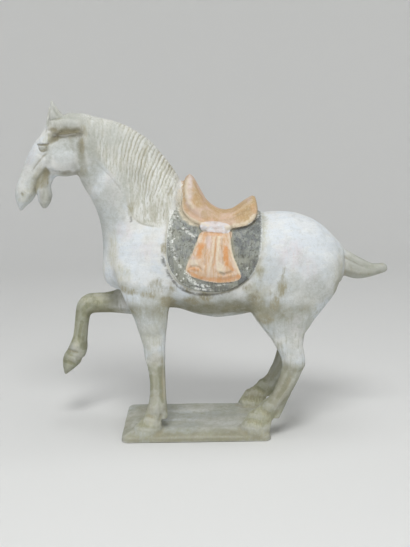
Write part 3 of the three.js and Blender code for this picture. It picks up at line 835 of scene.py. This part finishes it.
        "shoulderPink2": [-92, 278, 14, 14, 0, 0.6, -1],
        "rumpPink": [126, 246, 20, 20, 0, 0.8, 0],
        "rumpPink2": [150, 226, 12, 20, 0, 0.6, 0],
        "thighPink": [130, 156, 10, 14, 0, 0.6, 0],
        "nosePink": [-211, 372, 5, 18, -24, 0.5, 0],
        "jawPink": [-200, 324, 3, 12, -8, 0.7, 0],
        "hoofPink": [84, 33, 5, 5, 0, 0.7, 0],
        "farHindPink": [97, 40, 5, 5, 0, 0.7, 1],
        # a painted highlight down the pommel's ridge
        "pommel": [-4, 328, 5, 22, -4, 1.0, 0],
        "seatPink": [14, 300, 10, 7, -20, 0.35, 0],
        "cantlePink": [74, 318, 4, 10, 0, 0.5, 0],
        "drapePink": [0, 240, 6, 6, 0, 0.9, 0],
        "drapePink2": [33, 236, 6, 8, 0, 1.0, 0],
        "drapePink3": [20, 262, 4, 10, 0, 0.7, 0],
    },
}
paintLines = {
    "chalk": {
        "clothTop": [[(-16, 336), (-17, 326), (-17, 316), (-20, 306)], 4.0, 0.75, 0],
        "clothFrontLine": [[(-23, 312), (-28, 300), (-31, 288), (-33, 274), (-35, 262)], 2.0, 0.8, 0],
        "clothFrontLow": [[(-36, 250), (-33, 236), (-26, 222), (-17, 210)], 1.4, 0.75, 0],
        "clothInnerLow": [[(-24, 246), (-19, 236), (-10, 226)], 1.3, 0.7, 0],
        "saddleCorner": [[(72, 285), (79, 289), (86, 294)], 1.0, 0.9, 0],
        "drapeFoot": [[(-9, 225), (-3, 217), (6, 211), (15, 208.5)], 2.8, 0.95, 0],
        "clothFoot": [[(2, 205.5), (12, 203.5), (22, 203.5)], 1.6, 0.7, 0],
        "drapeFootRear": [[(22, 208.5), (32, 209.5), (44, 211)], 1.0, 0.6, 0],
        "clothFlecks1": [[(-12, 282), (-4, 274), (3, 272)], 2.4, 0.6, 0],
        "clothFlecks3": [[(-29, 266), (-26, 256), (-22, 248)], 2.2, 0.55, 0],
        "clothRubbed": [[(-22, 300), (-27, 286), (-29, 272)], 2.6, 0.5, 0],
    },
    # painted shade along grooves and creases, under edges, and in the eye and nostril
    "shade": {
        "clothRim": [[(-39, 250), (-37, 236), (-29, 219), (-17, 204), (-2, 197.5), (18, 196), (36, 198),
                      (55, 206), (70, 216)], 1.5, 1.0, 0],
        "upperLid": [[(-200.5, 390.4), (-196, 390), (-190, 389.8), (-186, 391)], 1.2, 1.0, 0],
        "eyeLine": [[(-199.5, 388), (-197.5, 383.4), (-194, 381), (-189.5, 382)], 1.0, 0.8, 0],
        "pupil": [[(-192.5, 384), (-190.5, 383)], 1.2, 0.4, 0],
        "eyeCorner": [[(-188.5, 387), (-188, 383.5)], 1.2, 0.6, 0],
        "faceLine": [[(-190, 378), (-197, 371), (-204, 363), (-209, 356)], 1.3, 0.4, 0],
        "faceLine2": [[(-203, 340), (-206, 347)], 0.8, 0.4, 0],
        "capLine": [[(-178, 402), (-168, 400.8), (-154, 401), (-144, 402.5)], 3.0, 0.6, 0],
        "browLine": [[(-186, 392.5), (-179, 396), (-173, 400)], 2.4, 0.5, 0],
        "cheekLine": [[(-188, 358), (-177, 355), (-166, 352.5), (-156, 352.5), (-148, 356)], 2.0, 0.4, 0],
        "maneLineUpper": [[(-124, 366), (-116, 358), (-107, 349), (-97, 337), (-90, 326)], 1.0, 0.3, -1],
        "maneLineLower": [[(-76, 294), (-68, 288), (-58, 285), (-48, 284)], 1.0, 0.35, -1],
        "neckMark": [[(-80.5, 296), (-80, 290)], 1.2, 0.8, -1],
        "nostril": [[(-225, 327), (-223, 324)], 1.3, 0.5, 0],
        "lipMark": [[(-221, 329), (-218, 327)], 0.9, 0.5, -1],
        "drapeFoot": [[(2, 217), (18, 211.5), (34, 210.5), (50, 212), (58, 215)], 0.9, 0.35, 0],
        "kneeLine": [[(-66, 112), (-54, 108), (-46, 108)], 1.0, 0.35, -1],
        "drapeGroove": [[(18, 272), (16, 252), (15, 238)], 1.6, 0.2, 0],
        "drapeGroove2": [[(37, 262), (37, 252), (38, 242)], 0.9, 0.2, 0],
        "cantle": [[(74, 305), (66, 300), (58, 296)], 1.8, 0.35, 0],
        "tailLine": [[(202, 236), (209, 231), (216, 227.5), (226, 223)], 0.9, 0.45, 0],
        "foldCorner": [[(34, 226), (39, 223.5)], 2.0, 0.5, 0],
        "hindHoofLine": [[(57, 14), (64, 12), (78, 8), (90, 14)], 1.4, 0.25, -1],
    },
    "rust": {
        "deepPatch": [[(42, 257), (42, 247), (43.5, 238)], 3.0, 0.9, 0],
        "deepTail": [[(44, 240), (50, 230)], 2.8, 0.6, 0],
        "leftPatch": [[(10, 260), (7, 248)], 3.4, 0.8, 0],
        "leftStreak": [[(15, 272), (12, 262)], 2.0, 0.5, 0],
        "hem": [[(-6, 227), (4, 222), (18, 218), (34, 216), (48, 217), (57, 221)], 3.0, 0.6, 0],
        "hemRight": [[(34, 218), (46, 219)], 3.4, 0.5, 0],
        "top": [[(16, 274), (26, 274), (36, 274)], 2.4, 0.5, 0],
        "leftCurl": [[(-5, 231), (5, 230)], 2.4, 0.6, 0],
        "grooveLeft": [[(17, 262), (16, 245), (15, 236)], 1.4, 0.4, 0],
        "middle": [[(29, 268), (28, 250), (26, 236)], 1.3, 0.55, 0],
        "saddleLow": [[(-10, 308), (-2, 299), (10, 293), (30, 289)], 3.2, 0.30, 0],
        "saddleRear": [[(78, 308), (80, 300)], 3.0, 0.35, 0],
        "saddleMiddle": [[(36, 291), (50, 296), (60, 302)], 2.4, 0.25, 0],
    },
    "pale": {
        # painted highlights along the two middle pleat ridges
        "pleat1": [[(27, 270), (26, 256), (23, 240), (20, 229)], 1.3, 0.8, 0],
        "pleat2": [[(33, 270), (32, 256), (31, 242), (32, 229)], 1.8, 1.0, 0],
        "leftFold": [[(-2, 239), (3, 238)], 3.6, 1.0, 0],
        "rightFold": [[(33, 238), (35, 228)], 4.0, 0.9, 0],
        "leftTop": [[(14, 270), (10, 262)], 2.0, 0.4, 0],
        "rightEdge": [[(47, 270), (49, 250), (54, 236), (59, 223)], 1.3, 0.95, 0],
        "leftEdge": [[(10, 272), (0, 254), (-7, 237), (-9, 228)], 1.2, 0.7, 0],
        "saddleRim": [[(-13, 318), (-12, 304), (-4, 295), (8, 288.5), (20, 285)], 1.5, 0.8, 0],
        "saddleRimRear": [[(46, 282), (58, 284), (70, 287), (80, 294), (87, 299)], 2.2, 1.0, 0],
        # painted highlights along the pommel's ridge, on its top and along the cantle's ridge
        "pommelPink": [[(-8, 342), (-9, 330), (-6, 318), (0, 308)], 2.8, 0.7, 0],
        "cantleRidge": [[(78, 314), (70, 309), (60, 302), (50, 296)], 1.5, 0.5, 0],
        "pommelTop": [[(-6, 349), (-2, 342)], 2.0, 0.3, 0],
        "saddleSmear": [[(-17, 326), (-17, 312), (-14, 300), (-6, 291), (6, 286)], 3.4, 1.0, 0],
        "saddleSmearRear": [[(44, 281), (58, 283), (70, 287), (82, 296)], 3.0, 0.95, 0],
    },
}


# Bands across the slab's top, as [x, y, half length, half width, strength]
slabBands = {
    "pale": {"rear": [-10, 23, 30, 9, 0.6], "middle": [-18, -16, 34, 7, 0.6], "hind": [40, -30, 30, 10, 0.3]},
    "grimeAndShade": {"middle": [-20, -38, 36, 7, 0.9], "hind": [46, 3, 40, 9, 0.8], "rear": [20, 44, 90, 9, 0.4]},
}

# Where the slip has worn thin and the clay shows, as [share, zone] in the way of the evening
bareZones = {
    "lowerLegs": [0.75, [("z", 118, 92)]],
    "upperLegs": [0.25, [("z", 180, 150)]],
    "raisedLeg": [0.95, [("x", -96, -124), ("z", 222, 196), ("farSide", 0, 1)]],
    "farLegs": [0.95, [("z", 168, 130), ("farSide", 0, 1)]],
    "tail": [0.65, [("x", 196, 212)]],
    "muzzle": [0.3, [("x", -186, -214), ("z", 350, 320)]],
}
# Ovals on the joints, where more of the slip is left
slipLeft = {
    "hock": [130, 109, 13, 11, 0],
    "knee": [-58, 126, 16, 12, 0],
    "fetlock": [107, 46, 8, 9, 0],
    "raisedFetlock": [-170, 106, 12, 9, 0],
}
bareShares = {"slab": 0.5, "slabTop": 19, "jointSlip": 0.35, "slabBand": 0.45}


def bareClay(points):
    places = zonePlaces(points, {})
    bare = np.maximum.reduce([share * zoneShare(places, zone) for share, zone in bareZones.values()])
    left = sum(np.exp(-ovalReach(points, oval)) for oval in slipLeft.values())
    bare = np.where(places["z"] < bareShares["slabTop"], bareShares["slab"], bare)
    return np.clip(bare - bareShares["jointSlip"] * left, 0, 1)


def bandStrength(points, bands):
    x, y, z = points.T
    ragged = unevenness(points, "slabBands")
    onTop = ease(z, 19, 16) * ease(z, 9, 12)
    strength = np.zeros(len(points))
    for midX, midY, halfLength, halfWidth, amount in bands.values():
        reach = np.hypot((x - midX) / halfLength, (y - midY) / halfWidth) + ragged
        strength = np.maximum(strength, amount * ease(reach, 1.3, 0.4) * onTop)
    return strength


def patchStrength(points, outward, patches, ragged):
    facing = ease(outward, -0.9, 0.1)
    strength = np.zeros(len(points))
    for *oval, amount, side in patches.values():
        reach = np.sqrt(ovalReach(points, oval)) + ragged
        ofSide = points[:, 1] * side >= 0
        strength = np.maximum(strength, amount * ease(reach, 1.35, 0.35) * ofSide * facing)
    return strength


def lineStrength(points, outward, lines, ragged):
    strength = np.zeros(len(points))
    for path, width, amount, side in lines.values():
        near, distance, _ = nearPath(points, outward, path, 4 * width, side)
        shape = ease(distance / width + ragged[near], 1.7, 0.5) * ease(outward[near], 0.0, 0.3)
        strength[near] = np.maximum(strength[near], amount * shape)
    return strength


# The strands' shadows grow towards the crest, and their tones differ from one strand to the next
strandPaint = {"deepest": 1.2, "lowShadow": 0.55, "crest": (300, 390), "toneShare": 0.6, "toneTurn": 2.4}


# Values stored on the points, which the paint is laid by
def storeMarks(mesh):
    points, normals = readPoints(mesh), readNormals(mesh)
    x, y, z = points.T
    outward = outwardFacing(points, normals)
    depths = formDepths(points)
    for name in ("drape", "knot"):
        depths[name][np.abs(y) < drapeInside + 2] = farOutside
    depths["cloth"] *= 1 - 0.75 * ease(x, 60, 80)  # its rear edge is rubbed soft
    for name, depth in depths.items():
        storeMark(mesh, name + "Depth", depth)
    patchEdge = unevenness(points, "patches") + unevenness(points, "patchesFine")
    slanted = points + 0.6 * points[:, [2, 0, 1]]
    lineEdge = unevenness(slanted, "lines") + unevenness(slanted, "linesFine")
    for name, patches in soilAndShadePatches.items():
        strength = patchStrength(points, outward, patches, patchEdge)
        if name == "grimeAndShade":
            strength = np.maximum(strength, bandStrength(points, slabBands["grimeAndShade"]))
        storeMark(mesh, name, strength)
    for name, lines in paintLines.items():
        storeMark(mesh, name, lineStrength(points, outward, lines, lineEdge))
    paleBands = bandStrength(points, slabBands["pale"])
    storeMark(mesh, "bare", bareClay(points) - bareShares["slabBand"] * paleBands)
    ridge, depth, phase = hairProfile(points, depths)
    low = strandPaint["lowShadow"]
    shadow = low + (1 - low) * ease(z, *strandPaint["crest"])
    storeMark(mesh, "hairGroove", (1 - ridge) * np.clip(depth, 0, strandPaint["deepest"]) * shadow)
    tone = strandPaint["toneShare"] * np.sin(np.floor(phase) * strandPaint["toneTurn"])
    tone += unevenness(alongStrand(points, phase, 6, 2.4), "strandTone")
    storeMark(mesh, "hairTone", tone * np.clip(depth, 0, 1))
    print("paint marks stored")


# Small makers of shader nodes; each gives back the output socket that the next one takes
class Palette:
    def __init__(self, tree):
        self.tree = tree

    def node(self, kind, inputs=None, **settings):
        made = self.tree.nodes.new(kind)
        for name, value in settings.items():
            setattr(made, name, value)
        for name, value in (inputs or {}).items():
            if isinstance(value, bpy.types.NodeSocket):
                self.tree.links.new(value, made.inputs[name])
            else:
                made.inputs[name].default_value = value
        return made

    def mark(self, name):  # a value stored on the piece's points
        return self.node("ShaderNodeAttribute", attribute_name=name).outputs["Fac"]

    def sums(self, operation, a, b):
        return self.node("ShaderNodeMath", {0: a, 1: b}, operation=operation).outputs[0]

    def plus(self, a, b):
        return self.sums("ADD", a, b)

    def minus(self, a, b):
        return self.sums("SUBTRACT", a, b)

    def times(self, a, b):
        return self.sums("MULTIPLY", a, b)

    def soft(self, value, low, high, bottom=0.0, top=1.0):  # smooth from bottom at low to top at high
        inputs = {"Value": value, "From Min": low, "From Max": high, "To Min": bottom, "To Max": top}
        return self.node("ShaderNodeMapRange", inputs, interpolation_type="SMOOTHSTEP").outputs[0]

    def broken(self, name, noise, low, high, bottom, top):  # a mark, thinned by a noise
        return self.times(self.mark(name), self.soft(noise, low, high, bottom, top))

    def mix(self, amount, under, over):  # colours, or the names of paints
        under, over = ((*paints[c], 1) if isinstance(c, str) else c for c in (under, over))
        return self.node("ShaderNodeMix", {0: amount, 6: under, 7: over}, data_type="RGBA").outputs[2]

    def coats(self, colour, *coats):  # thin coats of paint, each as (noise, low, high, bottom, top, paint)
        for *where, paint in coats:
            colour = self.mix(self.soft(*where), colour, paint)
        return colour

    def noise(self, place, scale, detail=3.0, roughness=0.55):  # a scale for each axis stretches it
        if isinstance(scale, tuple):
            place, scale = self.node("ShaderNodeMapping", {"Vector": place, "Scale": scale}).outputs[0], 1
        inputs = {"Vector": place, "Scale": scale, "Detail": detail, "Roughness": roughness}
        return self.node("ShaderNodeTexNoise", inputs).outputs["Fac"]


# One layer of cold paint: inside its form, ragged at the edge, rubbed through in flecks
def wornLayerGroup():
    group = bpy.data.node_groups.new("wornLayer", "ShaderNodeTree")
    group.interface.new_socket("Place", in_out="INPUT", socket_type="NodeSocketVector")
    for name, value in (("Depth", 0), ("Ragged", 1.0), ("Flecks", 0.3), ("Fleck Size", 260)):
        made = group.interface.new_socket(name, in_out="INPUT", socket_type="NodeSocketFloat")
        made.default_value = value
    group.interface.new_socket("Mask", in_out="OUTPUT", socket_type="NodeSocketFloat")
    p = Palette(group)
    given = p.node("NodeGroupInput").outputs
    edge = p.times(p.minus(p.noise(given["Place"], 380, 4), 0.5), 2.6)
    inside = p.soft(p.plus(given["Depth"], p.times(edge, given["Ragged"])), -0.35, 0.35)
    rubbed = p.noise(given["Place"], given["Fleck Size"], 5, 0.62)
    level = p.minus(0.76, p.times(given["Flecks"], 0.22))
    flecks = p.soft(p.minus(rubbed, level), -0.03, 0.04)
    p.node("NodeGroupOutput", {"Mask": p.times(inside, p.minus(1.0, flecks))})
    return group


paints = {
    "slipCool": (0.66, 0.70, 0.74), "slipWarm": (0.70, 0.70, 0.68), "slipPink": (0.685, 0.635, 0.655),
    "slipWhite": (0.76, 0.775, 0.77), "straw": (0.50, 0.485, 0.345), "clay": (0.220, 0.225, 0.142),
    "clayPale": (0.30, 0.305, 0.212), "grimeAndShade": (0.41, 0.425, 0.395), "paintedShade": (0.225, 0.212, 0.135),
    "paintedDeepShadow": (0.145, 0.130, 0.080), "earth": (0.315, 0.288, 0.195), "earthDark": (0.17, 0.145, 0.085),
    "hair": (0.51, 0.495, 0.415), "hairPale": (0.66, 0.655, 0.61), "hairGroove": (0.27, 0.245, 0.16),
    "cloth": (0.155, 0.168, 0.165), "clothLight": (0.32, 0.335, 0.30), "clothBlue": (0.155, 0.16, 0.19),
    "clothOlive": (0.27, 0.25, 0.15), "saddle": (0.51, 0.345, 0.185), "saddlePink": (0.60, 0.44, 0.335),
    "saddleOchre": (0.45, 0.32, 0.165), "saddleDust": (0.34, 0.235, 0.15),
    "saddlePale": (0.66, 0.56, 0.42), "washPinkAndHighlight": (0.66, 0.55, 0.53), "rimCream": (0.74, 0.65, 0.50),
    "drape": (0.60, 0.39, 0.23), "drapePale": (0.70, 0.565, 0.455), "rust": (0.62, 0.265, 0.075),
    "knot": (0.68, 0.62, 0.61), "chalk": (0.77, 0.78, 0.74), "dark": (0.075, 0.068, 0.05),
}
# The painted and worn lines, with the painted shade and painted highlights, as [paint, low, high, most]
lineCoats = {
    "rust": ["rust", 0.1, 0.9, 0.85],
    "pale": ["rimCream", 0.15, 1.0, 0.8],
    "chalk": ["chalk", 0.15, 0.8, 0.9],
    "shade": ["dark", 0.05, 1.0, 0.72],
}


def potteryMaterial():
    material = bpy.data.materials.new("paintedPottery")
    material.use_nodes = True
    tree = material.node_tree
    p = Palette(tree)
    layer = wornLayerGroup()
    place = p.node("ShaderNodeTexCoord").outputs["Object"]

    def worn(form, ragged, flecks, size=260):
        inputs = {"Place": place, "Depth": p.mark(form + "Depth"), "Ragged": ragged, "Flecks": flecks,
                  "Fleck Size": size}
        return p.node("ShaderNodeGroup", inputs, node_tree=layer).outputs["Mask"]

    clouds = p.noise(place, 26, 4)
    mottle = p.noise(place, 95, 5, 0.62)
    blotch = p.noise(place, 210, 4, 0.6)
    grain = p.noise(place, 420, 4, 0.6)
    specks = p.noise(place, 900, 2, 0.5)
    brushed = p.noise(place, (260, 260, 38), 4, 0.6)
    streaks = p.noise(place, (430, 430, 95), 4, 0.62)
    swept = p.noise(place, (55, 80, 190), 4, 0.6)
    along, _, up = p.node("ShaderNodeSeparateXYZ", {0: place}).outputs

    # white slip, bluish, creamy or pinkish by turns, and thin on the legs
    slip = p.mix(p.soft(clouds, 0.42, 0.58), "slipCool", "slipWarm")
    slip = p.mix(p.times(p.mark("cool"), 0.8), slip, "slipCool")
    slip = p.mix(p.broken("pink", brushed, 0.38, 0.56, 0.4, 1.0), slip, "slipPink")
    slip = p.coats(slip, (swept, 0.46, 0.66, 0, 0.5, "slipWhite"), (mottle, 0.36, 0.50, 0.22, 0.0, "grimeAndShade"))
    thin = p.times(p.soft(up, 0.205, 0.175), p.soft(brushed, 0.36, 0.50, 0.45, 0.0))
    slip = p.mix(thin, slip, "clayPale")

    # greenish clay where the slip is worn through
    clay = p.coats(p.mix(p.soft(mottle, 0.38, 0.62), "clay", "clayPale"),
                   (brushed, 0.36, 0.48, 0.40, 0.0, "earth"),
                   (clouds, 0.54, 0.64, 0, 0.35, "slipWarm"))
    bare = p.plus(p.mark("bare"), p.minus(mottle, 0.5))
    bare = p.times(p.soft(bare, 0.10, 0.85), p.soft(p.mark("bare"), 0.0, 0.15))
    colour = p.mix(bare, slip, clay)
    tint = p.broken("straw", streaks, 0.38, 0.56, 0.95, 0.35)
    colour = p.mix(p.times(tint, 0.85), colour, "straw")

    # the mane and the cap of hair, with painted shade between the strands
    hair = p.coats(p.mix(p.soft(p.mark("hairTone"), -0.8, 0.8), "hair", "hairPale"),
                   (streaks, 0.40, 0.50, 0.55, 0.0, "clayPale"),
                   (brushed, 0.52, 0.62, 0, 0.5, "slipWhite"))
    hairArea = p.sums("MAXIMUM", p.mark("maneDepth"), p.mark("hairCapDepth"))
    colour = p.mix(p.soft(hairArea, -1.5, 4, 0, 0.8), colour, hair)
    groove = p.times(p.soft(p.mark("hairGroove"), 0.22, 0.80), p.soft(mottle, 0.38, 0.58, 0.45, 1.0))
    colour = p.mix(p.times(groove, 0.72), colour, "hairGroove")

    # grey grime, partly painted shade on the belly and legs; painted shade; brown earth; the darkest painted
    # shadow under the hair cap
    colour = p.mix(p.broken("grimeAndShade", blotch, 0.38, 0.60, 0.95, 0.70), colour, "grimeAndShade")
    colour = p.mix(p.broken("paintedShade", mottle, 0.36, 0.60, 1.0, 0.75), colour, "paintedShade")
    ragged = p.plus(p.times(mottle, 1.3), p.times(streaks, 0.9))
    ragged = p.plus(p.mark("earth"), p.minus(ragged, 1.1))
    soiled = p.times(p.soft(ragged, 0.10, 1.10), p.soft(p.mark("earth"), 0.0, 0.5))
    soiled = p.times(soiled, p.soft(streaks, 0.40, 0.56, 0.65, 1.0))
    colour = p.mix(p.times(soiled, 0.95), colour, "earth")
    colour = p.mix(p.broken("paintedDeepShadow", streaks, 0.38, 0.56, 0.85, 1.0), colour, "paintedDeepShadow")
    freckles = p.soft(p.noise(place, 330, 3, 0.6), 0.58, 0.67)
    freckles = p.times(freckles, p.soft(mottle, 0.46, 0.60, 0.25, 1.0))
    colour = p.mix(p.times(freckles, 0.20), colour, "earth")

    # grey cloth, rubbed to white on its front half and brushed down behind
    combed = p.noise(place, (560, 560, 60), 4, 0.65)
    lightness = p.plus(p.noise(place, 60, 4), p.soft(along, 0.01, -0.02, 0, 0.26))
    cloth = p.coats(p.mix(p.soft(lightness, 0.46, 0.64, 0, 0.9), "cloth", "clothLight"),
                    (brushed, 0.50, 0.60, 0, 0.5, "clothBlue"),
                    (mottle, 0.50, 0.58, 0, 0.65, "clothLight"),
                    (clouds, 0.50, 0.60, 0, 0.22, "clothOlive"),
                    (blotch, 0.46, 0.36, 0, 0.6, "dark"),
                    (combed, 0.50, 0.62, 0, 0.28, "clothLight"),
                    (combed, 0.46, 0.36, 0, 0.45, "dark"))
    clothMask = worn("cloth", 1.1, p.soft(along, 0.012, -0.03, 0.25, 0.68), 150)
    cloth = p.mix(clothMask, p.mix(0.6, colour, "chalk"), cloth)
    colour = p.mix(p.soft(p.mark("clothDepth"), -0.6, 0.6), colour, cloth)

    # saddle, rubbed orange, pink and tan
    saddle = p.coats(p.mix(p.soft(clouds, 0.42, 0.58), "saddle", "saddlePink"),
                     (along, 0.048, 0.076, 0, 0.6, "saddleOchre"),
                     (streaks, 0.50, 0.62, 0, 0.35, "saddlePale"),
                     (mottle, 0.46, 0.36, 0, 0.4, "saddleOchre"))
    # a pink wash on saddle and drape, and a painted pink highlight down the pommel
    pinkWashAndHighlight = p.broken("pink", mottle, 0.38, 0.56, 0.35, 1.0)
    colour = p.mix(worn("saddle", 0.5, 0.12), colour, p.mix(pinkWashAndHighlight, saddle, "washPinkAndHighlight"))

    # drape and knot
    drape = p.coats(p.mix(p.soft(brushed, 0.40, 0.60, 0.1, 0.9), "drape", "drapePale"),
                    (streaks, 0.46, 0.60, 0, 0.35, "drapePale"))
    colour = p.mix(worn("drape", 0.6, 0.15), colour, p.mix(pinkWashAndHighlight, drape, "washPinkAndHighlight"))
    knot = p.mix(p.soft(blotch, 0.48, 0.60, 0, 0.6), "knot", "slipCool")
    colour = p.mix(worn("knot", 0.4, 0.1), colour, knot)

    # painted and worn lines, painted shade and painted highlights; chalk is broken finely, the others broadly
    finely = p.soft(grain, 0.42, 0.56, 0.15, 1.0)
    broadly = p.soft(blotch, 0.34, 0.56, 0.65, 1.0)
    for name, (paint, low, high, most) in lineCoats.items():
        amount = p.times(p.soft(p.mark(name), low, high), finely if name == "chalk" else broadly)
        colour = p.mix(p.times(amount, most), colour, paint)

    # dust lies in every hollow, and edges are rubbed pale
    inDrape = p.soft(p.mark("drapeDepth"), -1.0, 1.0)
    inPaint = p.sums("MAXIMUM", inDrape, p.soft(p.mark("saddleDepth"), -3.5, 0.0))
    dusty = p.times(p.soft(p.mark("hollow"), 0.02, 0.30, 0, 0.5), p.minus(1.0, p.times(inPaint, 0.5)))
    colour = p.mix(dusty, colour, p.mix(inPaint, "earth", "saddleDust"))
    rubbed = p.times(p.soft(p.mark("hollow"), -0.05, -0.25, 0, 0.18), p.soft(p.mark("clothDepth"), 0.5, -2.5))
    colour = p.coats(p.mix(rubbed, colour, "slipWarm"),
                     (specks, 0.68, 0.76, 0, 0.3, "earthDark"),
                     (grain, 0.36, 0.48, 0.10, 0.0, "earth"),
                     (grain, 0.56, 0.68, 0.0, 0.10, "slipWhite"))

    shader = tree.nodes["Principled BSDF"]
    tree.links.new(colour, shader.inputs["Base Color"])
    tree.links.new(p.soft(mottle, 0.3, 0.7, 0.78, 0.93), shader.inputs["Roughness"])
    height = p.minus(p.plus(p.times(grain, 0.6), mottle), p.soft(specks, 0.60, 0.72, 0, 0.7))
    bump = p.node("ShaderNodeBump", {"Strength": 0.5, "Distance": 0.0006, "Height": height})
    tree.links.new(bump.outputs[0], shader.inputs["Normal"])
    return material


storeMarks(horse.data)
horse.data.materials.clear()
horse.data.materials.append(potteryMaterial())
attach(horse, "root")
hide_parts("horse_figure")
print("horse painted")


# The studio's floor is a wide bowl with a flat middle, in metres
studio = {"radius": 2.5, "curve": 1.0, "height": 3.0, "steps": 64, "pale": (0.74, 0.74, 0.73, 1)}


def buildFloor():
    work = bmesh.new()
    curve = studio["curve"]
    flat = studio["radius"] - curve
    profile = [(0, 0), (flat * 0.5, 0), (flat, 0)]
    for a in np.linspace(0.15, math.pi / 2, 10):
        profile.append((flat + curve * math.sin(a), curve - curve * math.cos(a)))
    profile.append((flat + curve, studio["height"]))
    rim = [work.verts.new((r, 0, h)) for r, h in profile]
    edges = [work.edges.new(pair) for pair in zip(rim, rim[1:])]
    bmesh.ops.spin(work, geom=rim + edges, cent=(0, 0, 0), axis=(0, 0, 1), angle=math.tau,
                   steps=studio["steps"], use_merge=True)
    bmesh.ops.remove_doubles(work, verts=work.verts[:], dist=1e-5)
    bmesh.ops.recalc_face_normals(work, faces=work.faces[:])
    mesh = bpy.data.meshes.new("studioFloor")
    work.to_mesh(mesh)
    work.free()
    mesh.shade_smooth()
    floor = bpy.data.objects.new("studioFloor", mesh)
    bpy.context.scene.collection.objects.link(floor)
    material = bpy.data.materials.new("paleFloor")
    material.use_nodes = True
    shader = material.node_tree.nodes["Principled BSDF"]
    shader.inputs["Base Color"].default_value = studio["pale"]
    shader.inputs["Roughness"].default_value = 0.9
    mesh.materials.append(material)


lamps = {
    # [place, size, watts, colour]
    "key": [(-0.1, -1.6, 2.2), 1.0, 37, (0.99, 1.0, 1.0)],
    "top": [(0.35, -0.1, 3.2), 2.4, 29, (0.98, 0.99, 1.0)],
}
room = {"lampsAim": (0, 0, 0.2), "colour": (0.9, 0.92, 0.95, 1), "strength": 0.08}


def buildLamps():
    for name, (place, size, watts, colour) in lamps.items():
        light = bpy.data.lights.new(name, "AREA")
        light.shape = "DISK"
        light.size = size
        light.energy = watts
        light.color = colour
        lamp = bpy.data.objects.new(name, light)
        lamp.location = place
        aim = Vector(room["lampsAim"]) - Vector(place)
        lamp.rotation_euler = aim.to_track_quat("-Z", "Y").to_euler()
        bpy.context.scene.collection.objects.link(lamp)
    world = bpy.data.worlds.new("softRoom")
    world.use_nodes = True
    light = world.node_tree.nodes["Background"].inputs
    light["Color"].default_value = room["colour"]
    light["Strength"].default_value = room["strength"]
    bpy.context.scene.world = world


# The photograph's viewing angle: metres, degrees, and the lens in mm on a square sensor
view = {"place": (0.0148, -1.229, 0.41336), "down": 9.2, "roll": 0.85, "lens": 60.73, "sensor": 36}


def buildCamera():
    lens = bpy.data.cameras.new("camera")
    lens.lens = view["lens"]
    lens.sensor_width = view["sensor"]
    lens.sensor_height = view["sensor"]
    lens.sensor_fit = "AUTO"
    lens.clip_end = 50
    camera = bpy.data.objects.new("camera", lens)
    tilt = Matrix.Rotation(math.radians(90 - view["down"]), 4, "X")
    roll = Matrix.Rotation(math.radians(-view["roll"]), 4, "Z")
    camera.matrix_world = Matrix.Translation(view["place"]) @ tilt @ roll
    bpy.context.scene.collection.objects.link(camera)
    bpy.context.scene.camera = camera


bpy.context.scene.view_settings.view_transform = "Standard"
buildFloor()
buildLamps()
buildCamera()
print("stage set")
